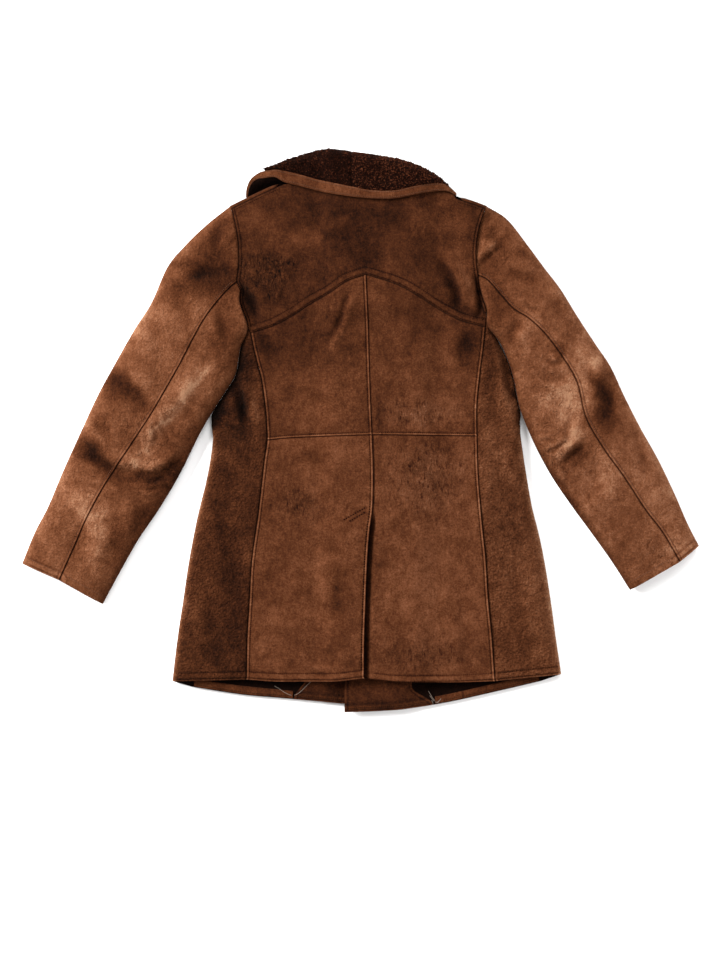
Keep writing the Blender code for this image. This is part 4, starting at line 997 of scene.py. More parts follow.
SUEDES = {      # by the frame's slots: how pebbled, gritty, wrinkled, netted and flecked
    "suede_back": suede("suede_back", 0.3, 1.1, 0.9, 0.5, 2.8),
    "suede_side": suede("suede_side", 1.5, 1.3, 0.6, 0.9, 1.0),
    "suede_sleeve": suede("suede_sleeve", 0.7, 1.05, 0.35, 0.8, 0.5),
    "suede_front": suede("suede_front", 0.35),
    "suede_trim": suede("suede_trim", 0.20),
}
WOOL_DARK = wool("wool_collar", (8, 3, 2), (44, 20, 12))
# The lining's and the collar leaves' wool is made darker than the collar's as painted shade, for both
# lie under the coat.
WOOL_LINING_SHADED = wool("wool_lining_shaded", (6, 3, 2), (34, 17, 11))
WOOL_LEAF_SHADED = wool("wool_leaf_shaded", (6, 3, 2), (34, 18, 13))
TUFTS = tuft_wool()
THREAD = plain_thread("thread_brown", (128, 80, 53))
THREAD_DARK = plain_thread("thread_dark", (16, 6, 3), 0.01)
THREAD_PALE = plain_thread("thread_pale", (196, 176, 160))


# ------------------------------------------------------------------------ meshes
def add_mesh(name, points, faces, materials, face_material=None, tone=None, crackle=None):
    """A new piece on the coat's body, with smooth faces and sharp corners."""
    mesh = bpy.data.meshes.new(name)
    mesh.from_pydata((np.asarray(points) * MM).tolist(), [], faces)
    for item in materials:
        mesh.materials.append(item)
    if face_material is not None:
        mesh.polygons.foreach_set("material_index", face_material)
    for attribute, values in (("tone", tone), ("crackle", crackle)):
        if values is not None:
            layer = mesh.attributes.new(attribute, "FLOAT", "POINT")
            layer.data.foreach_set("value", np.asarray(values, np.float32).ravel())
    mesh.shade_smooth()
    mesh.set_sharp_from_angle(angle=math.radians(62.0))
    mesh.update()
    piece = bpy.data.objects.new(name, mesh)
    bpy.context.scene.collection.objects.link(piece)
    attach(piece, "root")
    return piece


def volume_sign(points, quads):
    """+1 where the faces look out of the closed form, and -1 where they look in."""
    a, b, c, d = (points[quads[:, k]] for k in range(4))
    first = np.einsum("ij,ij->i", a, np.cross(b, c)).sum()
    second = np.einsum("ij,ij->i", a, np.cross(c, d)).sum()
    return 1 if first + second > 0 else -1


def grid_faces(rows, columns, first=0):
    """The faces of a grid whose points are numbered from first on."""
    number = first + np.arange(rows * columns).reshape(rows, columns)
    return np.stack([number[:-1, :-1], number[1:, :-1], number[1:, 1:], number[:-1, 1:]],
                    axis=-1).reshape(-1, 4)


def wall(name, outer, inner, slot, tone, place=None, inside=WOOL_LINING_SHADED):
    """A wall between two grids: suede outside and over its edges, wool inside.

    place is the part of the coat whose cracks show in the suede.
    """
    rows, columns = outer.shape[:2]
    total = rows * columns
    number = np.arange(total).reshape(rows, columns)
    faces = grid_faces(rows, columns)
    border = np.concatenate([number[0], number[1:, -1], number[-1, -2::-1], number[-2:0:-1, 0]])
    flat_out, flat_in = outer.reshape(-1, 3), inner.reshape(-1, 3)
    deep = np.linalg.norm(flat_in[border] - flat_out[border], axis=1)
    share = np.clip(SKIN / np.maximum(deep, 1e-6), 0.1, 0.6)[:, None]
    middle = flat_out[border] + share * (flat_in[border] - flat_out[border])
    points = np.concatenate([flat_out, flat_in, middle])
    here = np.arange(len(border))
    there = np.roll(here, -1)
    edge_out = np.stack([border[here], border[there], 2 * total + there, 2 * total + here], -1)
    edge_in = np.stack([2 * total + here, 2 * total + there, total + border[there],
                        total + border[here]], -1)
    quads = np.concatenate([faces, (faces + total)[:, ::-1], edge_out, edge_in])
    finish = np.repeat([0, 1, 0], [len(faces), len(faces), 2 * len(border)])
    if volume_sign(points, quads) < 0:
        quads = quads[:, ::-1]
    flat_tone = np.concatenate([tone.ravel(), tone.ravel(), tone.ravel()[border] - 0.05])
    crackle = patched(ALL_CRACKLES[place], points[:, 0], points[:, 1]) if place else None
    return add_mesh(name + "_suede", points, quads.tolist(), [SUEDES[slot], inside],
                    finish, flat_tone, crackle)


def loft(name, rings, material, tone=None):
    """A closed piece through rings of points, with flat ends."""
    rings = np.asarray(rings, float)
    count, size = rings.shape[:2]
    number = np.arange(count * size).reshape(count, size)
    turned = np.roll(number, -1, axis=1)
    quads = np.stack([number[:-1], turned[:-1], turned[1:], number[1:]], -1).reshape(-1, 4)
    points = rings.reshape(-1, 3)
    faces = quads.tolist()
    ends = [number[0, ::-1].tolist(), number[-1].tolist()]
    if volume_sign(points, quads) < 0:
        faces = quads[:, ::-1].tolist()
        ends = [end[::-1] for end in ends]
    return add_mesh(name, points, faces + ends, [material], None, tone)


def lift(plan, height):
    """Points of a plan grid at the given heights."""
    return np.dstack([plan[:, :, 0], plan[:, :, 1], height])


def rounded_corners(ring, times=2):
    """A closed ring of points with its corners cut, again and again."""
    for _ in range(times):
        following = np.roll(ring, -1, axis=0)
        ring = np.stack([0.75 * ring + 0.25 * following, 0.25 * ring + 0.75 * following],
                        axis=1).reshape(-1, ring.shape[1])
    return ring


# --------------------------------------------------------------- seams and edges
def edge_round(distance, radius, drop):
    """How far a surface falls as it nears a rounded edge."""
    near = np.clip(1.0 - distance / radius, 0.0, 1.0)
    return -drop * (1.0 - np.sqrt(np.maximum(1.0 - near * near, 0.0)))


def seam_shape(kind, distance):
    """Height and tone that a border gives to the surface beside it."""
    # Tone: the darker line at the border is painted shade in the seam's gap; the paler lip or strip
    # beside it and the pale hem edge are painted highlight.
    lip_highlight, depth, reach = (0.05, 0.46, 1.0) if kind == "armhole" else (0.24, 0.38, 0.7)
    channel = bell(distance - STITCH_INSET, 0.8)
    dark = bell(distance, reach)
    if kind in ("over", "armhole"):
        height = (LIP_RISE * bell(distance, 4.0) - 0.55 * channel
                  + edge_round(distance, LIP_RADIUS, 1.4))
        tone = lip_highlight * bell(distance - 1.9, 0.9) - 0.18 * channel - depth * dark
    elif kind == "yoke":
        rows = sum(bell(distance - row, 1.0) for row in YOKE_ROWS)
        strip = blend((YOKE_ROWS[1] - distance) / 4.0)
        height = 0.25 * strip - 0.35 * rows + edge_round(distance, LIP_RADIUS, 1.6)
        tone = 0.04 * strip - 0.17 * rows - 0.34 * dark
    elif kind == "under":
        height = -SEAM_SINK * bell(distance, 2.6) + edge_round(distance, 1.0, 0.8)
        tone = -0.06 * bell(distance, 1.6) - 0.26 * dark
    elif kind == "hem":
        rows = sum(bell(distance - row, 1.1) for row in HEM_ROWS)
        puff = bell(distance - 8.0, 3.6)
        height = 0.35 * puff - 0.6 * rows + edge_round(distance, 2.0, 1.8)
        # the last term is a painted highlight on the hem's edge
        tone = 0.04 * puff - 0.20 * rows + 0.16 * bell(distance - 0.6, 0.8)
    else:
        height = -0.55 * channel + edge_round(distance, 3.0, 2.2)
        # the first term is a painted highlight on the edge's lip
        tone = 0.07 * bell(distance - 1.8, 1.4) - 0.20 * channel
    return height, tone


def add_seams(x, y, borders):
    """Height and tone of all the borders of a panel; borders are (kind, curve)."""
    height, tone = np.zeros_like(x), np.zeros_like(x)
    for kind, curve in borders:
        more, shade = seam_shape(kind, away(x, y, np.asarray(curve)[::2]))
        height += more
        tone += shade
    return height, tone


def surface_of(*grids):
    """The outer skin of some grids, to place stitches on."""
    points, quads = np.zeros((0, 3)), []
    for grid in grids:
        quads.append(grid_faces(*grid.shape[:2], len(points)))
        points = np.concatenate([points, grid.reshape(-1, 3)])
    return BVHTree.FromPolygons(points.tolist(), np.concatenate(quads).tolist())


def drop_on(surface, x, y, above=80.0):
    """The point of a surface straight beneath, and its normal, or None."""
    place, normal, _, _ = surface.ray_cast(Vector((x, y, above)), Vector((0, 0, -1)))
    if place is None:
        return None
    if normal.z < 0:
        normal = -normal
    return np.array(place), np.array(normal)


def offset_line(curve, distance):
    """A curve moved sideways in plan, to the left of its direction."""
    curve = np.asarray(curve, float)
    run = np.gradient(curve, axis=0)
    run /= np.linalg.norm(run, axis=1)[:, None] + 1e-9
    return curve + distance * np.column_stack([-run[:, 1], run[:, 0]])


def tube_faces(rings, sides):
    """The faces round a small tube whose points are numbered ring after ring."""
    faces = []
    for ring in range(rings - 1):
        for k in range(sides):
            a, b = ring * sides + k, ring * sides + (k + 1) % sides
            faces.append([a, b, b + sides, a + sides])
    return faces


# A stitch: its thickness along its length, the number of its sides, and its faces.
SPINDLE = [(-0.5, 0.3), (-0.24, 1.0), (0.24, 1.0), (0.5, 0.3)]
SPINDLE_SIDES = 5
SPINDLE_POINTS = len(SPINDLE) * SPINDLE_SIDES
SPINDLE_FACES = tube_faces(len(SPINDLE), SPINDLE_SIDES)
SPINDLE_FACES += [list(range(SPINDLE_SIDES))[::-1],
                  list(range(SPINDLE_POINTS - SPINDLE_SIDES, SPINDLE_POINTS))]


def spindle(start, end, radius, up):
    """Points of one stitch, thick in the middle, between two points."""
    run = end - start
    ahead = run / np.linalg.norm(run)
    side = np.cross(ahead, up)
    side /= np.linalg.norm(side)
    rise = np.cross(side, ahead)
    points = []
    for share, thick in SPINDLE:
        middle = 0.5 * (start + end) + share * run
        for k in range(SPINDLE_SIDES):
            angle = 2 * math.pi * k / SPINDLE_SIDES
            points.append(middle + radius * thick * (math.cos(angle) * side
                                                     + math.sin(angle) * rise))
    return points


def stitch_rows(name, rows, material, thread=FINE_THREAD):
    """One joined piece of stitches; rows are (surface, line in plan)."""
    points, faces = [], []
    for surface, line in rows:
        total = lengths_along(line)[-1]
        count = max(1, int(total / thread.pitch))
        middles = (np.arange(count) + 0.5) * total / count
        ends = np.stack([middles - thread.length / 2, middles + thread.length / 2], 1)
        places = at_inset(np.asarray(line, float), ends.ravel()).reshape(count, 2, 2)
        for start, end in places:
            hits = [drop_on(surface, *start), drop_on(surface, *end)]
            if None in hits or abs(hits[0][0][2] - hits[1][0][2]) > 2.0:
                continue
            faces += [[len(points) + k for k in face] for face in SPINDLE_FACES]
            points += spindle(hits[0][0], hits[1][0], thread.radius, hits[0][1])
    return add_mesh(name, points, faces, [material])


# -------------------------------------------------------------------------- body
LINES = {"centre_upper": body_line("centre", 0, WAIST_ROW),
         "centre_lower": body_line("centre", WAIST_ROW, HEM_ROW)}
for side in SIDES:
    LINES["princess_" + side + "_upper"] = body_line("seam_" + side, 0, WAIST_ROW)
    LINES["princess_" + side + "_lower"] = body_line("seam_" + side, WAIST_ROW, HEM_ROW)
    LINES["yoke_" + side] = smooth(YOKE_EDGE[side])
    LINES["hem_" + side] = smooth(BACK_HEM[side])
LINES["waist_left"] = smooth([BODY_ROWS[WAIST_ROW].seam_left, (-99.0, -10.1),
                              BODY_ROWS[WAIST_ROW].centre])
LINES["waist_right"] = at_shares([BODY_ROWS[WAIST_ROW].centre, BODY_ROWS[WAIST_ROW].seam_right],
                                 np.linspace(0, 1, 60))


def sleeve_section(side, station):
    """A sleeve's section in plan, from the outer edge over the back seam to the inner edge."""
    table = [(*row.outer, *row.seam, *row.inner) for row in SLEEVE_ROWS[side]]
    outer, seam, inner = smooth_at(table, np.array([station]))[0].reshape(3, 2)
    bow = ARMHOLE_BOW[side] * np.interp(station, [0, 1, 2], [1.0, 0.4, 0.0])
    share = np.linspace(0.0, 1.0, 13)
    points = outer + share[:, None] * (seam - outer)
    points[:, 0] += bow * 4 * share * (1 - share)
    return points, inner


def armhole(side):
    """The armhole from the shoulder to the yoke's corner, shared by back and sleeve."""
    cap, _ = sleeve_section(side, 0.0)
    table = [row.inner for row in SLEEVE_ROWS[side]]
    joined = smooth_at(table, np.linspace(0.0, JOINED_ROWS - 1, 40))
    corner = LINES["princess_" + side + "_upper"][0]
    return np.vstack([cap, joined, corner])


def shoulder(side):
    """The shoulder's silhouette, from the armhole to the neck."""
    line = np.array([SLEEVE_ROWS[side][0].outer, SHOULDER_MIDDLE[side], NECK_END[side]], float)
    return smooth(line, 60)


def inward(side):
    """Unit vector in plan, square to the shoulder and pointing into the coat."""
    line = shoulder(side)
    run = line[-1] - line[0]
    square = INTO[side] * np.array([run[1], -run[0]])
    return square / np.linalg.norm(square)


def side_seam_beneath(side):
    """Where the side panel ends beneath the coat, from the armhole to the hem."""
    seam = body_line("seam_" + side, 0, HEM_ROW)
    edge = body_line("edge_" + side, 0, HEM_ROW)
    run = seam - edge
    length = np.linalg.norm(run, axis=1)
    beneath = edge + run / length[:, None] * np.minimum(UNDER_REACH, 0.9 * length + 6.0)[:, None]
    corner = np.array(FRONT_HEM[side][0]) - beneath[-1]
    return beneath + blend((-250.0 - beneath[:, 1:]) / 130.0) * corner


def fold_shade(folds):
    """Painted highlight on a ridge and painted shade in a trough."""
    return FOLD_PAINTED_LIGHT * np.clip(folds, -5, 4)


def back_panel(name, place, plan, borders, climb=0.0, grooves=0.0):
    """A panel of the back: its mesh and its outer grid. climb is what lifts it."""
    x, y = plan[:, :, 0], plan[:, :, 1]
    seams, shade = add_seams(x, y, borders)
    folds = folds_of("back", x, y)
    top = back_top(x, y) + VENT_PRESS * climb + folds + hide(x, y) + seams - 0.8 * grooves
    # painted shade in the tack grooves, on top of their dip
    tone = tone_of(place, x, y) + shade + fold_shade(folds) - 0.14 * grooves
    outer, inner = lift(plan, top), lift(plan, np.minimum(back_bottom(x, y) + climb, top - THINNEST))
    return wall(name, outer, inner, "suede_back", tone, place), outer


def make_yoke():
    """The pointed yoke across both shoulders."""
    yoke_bottom = np.vstack([LINES["yoke_left"], LINES["yoke_right"][1:]])
    roll = SHOULDER_ROLL + 2 * SEAM_GAP
    shoulder_left = shoulder("left") + inward("left") * roll
    shoulder_right = shoulder("right")[::-1] + inward("right") * roll
    yoke_top = np.vstack([shoulder_left, NECK_BACK, shoulder_right])
    left = armhole("left") + (0.1, 0.0)
    right = armhole("right") - (0.1, 0.0)
    yoke_top[0, 0] += SEAM_GAP
    yoke_top[-1, 0] -= SEAM_GAP
    left[0], right[0] = yoke_top[0], yoke_top[-1]
    plan = trimmed(coons(yoke_top, yoke_bottom, left, right, FINE))
    borders = [("yoke", yoke_bottom), ("armhole", left), ("armhole", right),
               ("under", shoulder_left), ("under", shoulder_right)]
    return back_panel("back_yoke", "yoke", plan, borders)


def make_upper(side):
    """A panel between the yoke and the waist; the left one laps over the right one."""
    princess, centre = LINES["princess_" + side + "_upper"], LINES["centre_upper"]
    start, end = (princess, centre) if side == "left" else (centre, princess)
    yoke_line, waist = LINES["yoke_" + side], LINES["waist_" + side]
    plan = trimmed(coons(yoke_line, waist, start, end, FINE))
    borders = [("under", yoke_line), ("over", waist), ("over", princess),
               ("over" if side == "left" else "under", centre)]
    return back_panel("back_upper_" + side, "upper", plan, borders)


def vent_share(y):
    """0 above the vent and 1 where its flap lies fully on the underlap."""
    return blend((VENT_TOP - y) / VENT_RAMP)


def make_lower_left():
    """The skirt's left panel, whose free edge is the flap of the vent."""
    waist, hem, princess, centre = (LINES[name] for name in (
        "waist_left", "hem_left", "princess_left_lower", "centre_lower"))
    plan = trimmed(coons(waist, hem, princess, centre, FINE))
    x, y = plan[:, :, 0], plan[:, :, 1]
    over = blend((x + VENT_UNDERLAP + 20.0) / 24.0)
    climb = over * vent_share(y) * (UNDERLAP_WALL + LAYER_GAP)
    grooves = sum(bell(away(x, y, np.array(line)), 2.0) for line in VENT_TACKS)
    borders = [("under", waist), ("hem", hem), ("over", princess), ("over", centre)]
    return back_panel("back_lower_left", "lower", plan, borders, climb, grooves)


LAP_COLUMNS = 12     # of the underlap's grid


def make_lower_right():
    """The skirt's right panel, whose underlap lies beneath the flap."""
    waist, hem, centre, princess = (LINES[name] for name in (
        "waist_right", "hem_right", "centre_lower", "princess_right_lower"))
    plan = trimmed(coons(waist, hem, centre, princess, FINE))
    plan[:, 0, 0] += 1.0
    free = plan[:, 0, 1]
    tuck = 0.6 + (VENT_UNDERLAP - 0.6) * blend((VENT_TOP - VENT_RAMP - 2.0 - free) / 18.0)
    shares = np.linspace(1.0, 0.0, LAP_COLUMNS + 1)[:-1]
    lap = plan[:, :1] - np.dstack([tuck[:, None] * shares[None],
                                   np.zeros((len(free), LAP_COLUMNS))])
    plan = np.concatenate([lap, plan], axis=1)
    x, y = plan[:, :, 0], plan[:, :, 1]
    start = plan[:, LAP_COLUMNS:LAP_COLUMNS + 1, 0]
    hidden = vent_share(y)
    seams, shade = add_seams(x, y, [("under", waist), ("hem", hem), ("over", princess)])
    beside, dark = seam_shape("under", np.abs(x - start))
    seams += beside * (1 - hidden) * (x >= start)
    shadow = bell(np.maximum(x - start, 0.0), 4.8) * hidden
    shade += dark * (1 - hidden) - 0.42 * shadow
    folds = folds_of("back", x, y) + hide(x, y)
    pressed = blend((start + 9.0 - x) / 7.0) * hidden
    bottom = back_bottom(x, y)
    top = ((1 - pressed) * (back_top(x, y) + folds) + pressed * (bottom + UNDERLAP_WALL - 0.4)
           + seams * (1 - 0.8 * pressed))
    tone = tone_of("lower", x, y) + shade
    outer, inner = lift(plan, top), lift(plan, np.minimum(bottom, top - THINNEST))
    return wall("back_lower_right", outer, inner, "suede_back", tone, "lower"), outer


# ------------------------------------------------------- rounded edges and tubes
Section = namedtuple("Section", "outer inner from_seam")


def rounded(top_line, under_line, height, rounding, thickness, steps, softness=2.0):
    """A wall's section from its top seam round an edge and on to its seam beneath.

    Both lines start at the edge. Gives the outer and inner points and how far each
    outer point is from the top seam. steps are the points on top, round the edge and
    beneath.
    """
    top_line, under_line = np.asarray(top_line, float), np.asarray(under_line, float)
    top_run = lengths_along(top_line)[-1] - SEAM_GAP / 2
    under_run = lengths_along(under_line)[-1] - SEAM_GAP / 2
    rounding = min(rounding, 0.8 * top_run)
    thickness = min(thickness, 0.45 * top_run)
    middle, heart = 0.42 * height, 0.5 * height
    on_top, round_edge, beneath = steps
    near = NEAR * min(1.0, (top_run - rounding) / 20.0)
    level = np.concatenate([near, np.linspace(near[-1], top_run - rounding, on_top + 1)[1:]])
    angles = np.radians(np.linspace(90.0, 0.0, round_edge + 1)[1:])
    insets = np.concatenate([top_run - level, rounding * (1 - np.cos(angles))])
    fall = np.clip(1.0 - insets / rounding, 0.0, 1.0)
    crown = (1.0 - fall ** softness) ** (1.0 / softness)
    out_z = middle + (height - middle) * crown
    into = np.maximum(insets, thickness + 0.4 * (insets / rounding).clip(0, 1))
    in_z = heart + (height - thickness - heart) * crown
    outer = [np.column_stack([at_inset(top_line, insets), out_z])]
    inner = [np.column_stack([at_inset(top_line, into), in_z])]
    under_rounding = min(0.45 * height, 0.6 * under_run)
    angles = np.radians(np.linspace(0.0, 90.0, 6)[1:])
    insets = np.concatenate([under_rounding * (1 - np.cos(angles)),
                             np.linspace(under_rounding, under_run, beneath + 1)[1:]])
    sink = np.concatenate([np.sin(angles), np.ones(beneath)])
    into = np.maximum(insets, thickness + 0.7 * sink)
    outer.append(np.column_stack([at_inset(under_line, insets), middle * (1 - sink)]))
    inner.append(np.column_stack([at_inset(under_line, into), heart - (heart - thickness) * sink]))
    distance = np.concatenate([level, np.full(len(out_z) - len(level), 99.0),
                               np.full(len(sink), 99.0)])
    return Section(np.vstack(outer), np.vstack(inner), distance)


def stacked(sections):
    """The grids of a tube: its outer and inner points and the distances from its seam."""
    return Section(*(np.array(grid) for grid in zip(*sections)))


def with_relief(outer, from_seam, place, kind, height, rim, rim_light_and_shade):
    """A tube's outer grid with folds on top and soft lifts beneath, and its tone.

    The last argument is how much paler the outline is painted: a painted rim highlight, and painted
    shade where it is below 0.
    """
    x, y, z = outer[:, :, 0], outer[:, :, 1], outer[:, :, 2]
    on_top = blend((z - 0.5 * height) / (0.4 * height))
    beneath = blend(1.0 - z / (0.25 * height))
    seams, shade = seam_shape(kind, from_seam)
    ends, ends_shade = add_seams(x, y, rim)
    folds = folds_of(place, x, y)
    moved = outer.copy()
    moved[:, :, 2] += on_top * (folds + 1.5 * hide(x, y, 20.0) + seams + ends)
    lifted = np.clip(-folds_of("under", x, y) + 0.7 * (noise(x, y, 44.0, 9) + 0.2), 0.0, 3.0)
    moved[:, :, 2] += beneath * lifted
    tone = on_top * (shade + ends_shade + fold_shade(folds))
    # painted rim highlight along the outline, painted shade where the amount is below 0
    outline_band = blend((0.93 - z / height) / 0.4) * blend(z / (0.2 * height))
    shade = tone + rim_light_and_shade * outline_band
    return moved, tone_of(place, moved[:, :, 0], moved[:, :, 1]) + shade


def against_sleeve(side, edge):
    """A side panel's edge, drawn up to the sleeve as far as the two lie together."""
    inner = smooth([row.inner for row in SLEEVE_ROWS[side][JOINED_ROWS - 1:]], 200)[::-1]
    beside = np.interp(edge[:, 1], inner[:, 1], inner[:, 0])
    gap = np.abs(edge[:, 0] - beside)
    kept = TOUCH + (gap - TOUCH) * blend((gap - 2.0) / 6.0)
    return np.column_stack([beside + INTO[side] * kept, edge[:, 1]])


SIDE_RIM_LIGHT = 0.38     # painted rim highlight: how much paler the outline is below the waist


def make_side(side):
    """A side panel: from the back's seam, round the coat's edge, to the seam beneath."""
    seam = body_line("seam_" + side, 0, HEM_ROW)
    edge = body_line("edge_" + side, 0, HEM_ROW)
    beneath = side_seam_beneath(side)
    corner = 0.6 * np.array(SLEEVE_ROWS[side][JOINED_ROWS - 1].inner) + 0.4 * seam[0]
    seam, edge = np.vstack([corner, seam]), np.vstack([corner, edge])
    beneath = np.vstack([corner + (beneath[0] - edge[1]) * 0.8, beneath])
    edge = against_sleeve(side, edge)
    shares = spaced(lengths_along(seam)[-1], FINE)
    seam, edge, beneath = (at_shares(line, shares) for line in (seam, edge, beneath))
    sections = []
    for top, rim, under, share in zip(seam, edge, beneath, shares):
        run = (top - rim) / np.linalg.norm(top - rim)
        rounding = 12.0 + 14.0 * blend((share - 0.12) / 0.12)
        sections.append(rounded([rim, top - run * SEAM_GAP], [rim, under], BACK_HEIGHT,
                                rounding, SIDE_WALL, (20, 12, 9), 1.9))
    outer, inner, from_seam = stacked(sections)
    hem = at_shares([seam[-1], edge[-1]], np.linspace(0, 1, 25))
    # painted rim highlight along the side's outline, below the waist
    rim_light_and_shade = SIDE_RIM_LIGHT * blend((20.0 - outer[:, :, 1]) / 60.0)
    name = "side_" + side
    outer, tone = with_relief(outer, from_seam, name, "under", BACK_HEIGHT, [("hem", hem)], rim_light_and_shade)
    return wall(name, outer, inner, "suede_side", tone, name), outer


SLEEVE_RIM_LIGHT_AND_SHADE = {"top": 0.13, "under": -0.18}   # painted rim highlight on top, painted shade at the inner edge beneath: how much paler the outline is
SLEEVE_HEIGHT = 27.0


def make_sleeve(side):
    """The two pieces of a sleeve, which meet in a seam on top and in one beneath."""
    rows = SLEEVE_ROWS[side]
    dense = np.linspace(0, len(rows) - 1, 400)
    spine = smooth_at([row.seam for row in rows], dense)
    along = lengths_along(spine)
    stations = np.interp(spaced(along[-1], FINE) * along[-1], along, dense)
    sizes = smooth_at([(row.height, row.round_outer, row.round_inner) for row in rows], stations)
    sections = {"top": [], "under": []}
    for station, (height, round_outer, round_inner) in zip(stations, sizes):
        upper, inner_edge = sleeve_section(side, station)
        curve = np.vstack([upper, inner_edge])
        length = lengths_along(curve)[-1]
        beneath = UNDER_SEAM * length
        from_outer = at_inset(curve, np.linspace(0, beneath, 12))
        from_inner = at_inset(curve[::-1], np.linspace(0, length - beneath, 12))
        widths = {"top": lengths_along(upper)[-1], "under": np.linalg.norm(inner_edge - upper[-1])}
        soft = {"top": min(2.3 * round_outer, 0.74 * widths["top"]),
                "under": min(2.0 * round_inner, 0.7 * widths["under"])}
        crown = height + 1.5 * blend((station - 1.0) / 3.0)
        sections["top"].append(rounded(upper, from_outer, crown, max(soft["top"], 4.0),
                                       SLEEVE_WALL, (14, 26, 14), 1.75))
        sections["under"].append(rounded(curve[:-3:-1], from_inner, crown,
                                         max(soft["under"], 1.0), SLEEVE_WALL, (10, 22, 12), 1.9))
    cap, _ = sleeve_section(side, 0.0)
    hole = np.vstack([cap, smooth_at([row.inner for row in rows], np.linspace(0, 2, 30))])
    upper, inner_edge = sleeve_section(side, len(rows) - 1.0)
    cuff = np.vstack([upper, inner_edge])
    name = "sleeve_" + side
    pieces, grids = {}, {}
    for part, kind in (("top", "armhole"), ("under", "under")):
        outer, inner, from_seam = stacked(sections[part])
        grids[part], tone = with_relief(outer, from_seam, name, kind, SLEEVE_HEIGHT,
                                        [("under", hole), ("hem", cuff)], SLEEVE_RIM_LIGHT_AND_SHADE[part])
        pieces[part] = wall(name + "_" + part, grids[part], inner, "suede_sleeve", tone, name)
    return pieces, grids


# ------------------------------------------------------------------------ fronts
ROLL_STEPS = [(5.0, 1.0, 5.0), (3.1, 0.985, 5.5), (1.6, 0.93, 6.0), (0.6, 0.78, 6.4),
              (0.0, 0.5, 6.9), (0.3, 0.26, 7.3), (1.6, 0.08, 7.7), (4.0, 0.0, 8.0)]


def front_plan(side):
    """Plan of a front, from the shoulder and neck down to the hem."""
    outer_border = np.vstack([armhole(side)[:-1], side_seam_beneath(side)])
    inset = 0.05 + 2.35 * (blend((lengths_along(outer_border) - 8.0) / 30.0)
                         * blend((outer_border[:, 1] + 380.0) / 60.0))
    outer_border[:, 0] += INTO[side] * inset
    hem = smooth(FRONT_HEM[side])
    along_shoulder = shoulder(side)
    neck = smooth(np.vstack([along_shoulder[-1:], FRONT_NECK[side]]))
    top = np.vstack([along_shoulder, neck[1:]])
    hem[0], top[0] = outer_border[-1], outer_border[0]
    edge = np.column_stack([np.full(60, FRONT_EDGE[side]), np.linspace(top[-1][1], hem[-1][1], 60)])
    share = lengths_along(along_shoulder)[-1] / lengths_along(top)[-1]
    plan = coons(top, hem, outer_border, edge, COARSE, (False, True, False, True))
    return plan, share, edge, hem


def make_front(side):
    """A front, its shoulder edge rolled up to the yoke, with its facing and hem band."""
    plan, share, edge, hem = front_plan(side)
    columns = lengths_along(plan[0]) / lengths_along(plan[0])[-1]
    rolled = blend((share - columns) / 0.05)
    beside_sleeve = plan[3, 0] - plan[0, 0]
    beside_sleeve /= np.linalg.norm(beside_sleeve)
    turn = blend(lengths_along(plan[0]) / 30.0)[:, None]
    into = (1 - turn) * beside_sleeve + turn * inward(side)
    x, y = plan[0, :, 0], plan[0, :, 1]
    low = front_bottom(side, x, y)
    high = back_top(x, y) - 0.8
    outer, inner = [], []
    for step, (inset, level, inset_in) in enumerate(ROLL_STEPS):
        plain = 0.5 * step
        flat_out = plan[0] + (rolled * inset + (1 - rolled) * plain)[:, None] * into
        flat_in = plan[0] + (rolled * inset_in + (1 - rolled) * plain)[:, None] * into
        outer.append(np.column_stack([flat_out, low + rolled * level * (high - low)]))
        inner.append(np.column_stack([flat_in, low + front_wall(x)]))
    down = np.array([lengths_along(plan[:, k])[:8] for k in range(0, plan.shape[1], 9)]).mean(0)
    first = int(np.searchsorted(down, 10.0))
    rest = plan[first:]
    x, y = rest[:, :, 0], rest[:, :, 1]
    bottom = front_bottom(side, x, y)
    seams, shade = add_seams(x, y, [("edge", edge), ("hem", hem)])
    lifted = np.clip(-folds_of("under", x, y) + 0.6 * (noise(x, y, 52.0, 8) + 0.2), 0.0, 2.6)
    skin = np.maximum(bottom + lifted - seams, bottom)
    wool_side = bottom + front_wall(x)
    outer = np.concatenate([outer, lift(rest, skin)])
    inner = np.concatenate([inner, lift(rest, wool_side)])
    tone = tone_of("front", outer[:, :, 0], outer[:, :, 1])
    tone[len(ROLL_STEPS):] += shade
    piece = wall("front_" + side, outer, inner, "suede_front", tone)
    facing, facing_top = make_facing(side, rest, wool_side)
    band, band_top = make_hem_band(side, rest, wool_side)
    grids = {"wool": lift(rest, wool_side), "facing": facing_top, "band": band_top}
    return {"front": piece, "facing": facing, "band": band}, grids


def sample_grid(grid, rows, columns):
    """A grid read between its own points, at fractional rows and columns."""
    rows, columns = np.broadcast_arrays(rows, columns)
    r = np.clip(np.floor(rows).astype(int), 0, grid.shape[0] - 2)
    c = np.clip(np.floor(columns).astype(int), 0, grid.shape[1] - 2)
    fr, fc = (rows - r)[..., None], (columns - c)[..., None]
    upper = (1 - fc) * grid[r, c] + fc * grid[r, c + 1]
    lower = (1 - fc) * grid[r + 1, c] + fc * grid[r + 1, c + 1]
    return (1 - fr) * upper + fr * lower


def column_at(grid, row, x):
    """The fractional column of a grid row at which x is reached."""
    values = grid[row, :, 0]
    numbers = np.arange(len(values), dtype=float)
    if values[0] > values[-1]:
        values, numbers = values[::-1], numbers[::-1]
    return float(np.interp(x, values, numbers))


def trim_wall(name, top, bottom, tone):
    """A flat piece of suede on both sides."""
    return wall(name, top, bottom, "suede_trim", tone, inside=SUEDES["suede_trim"])


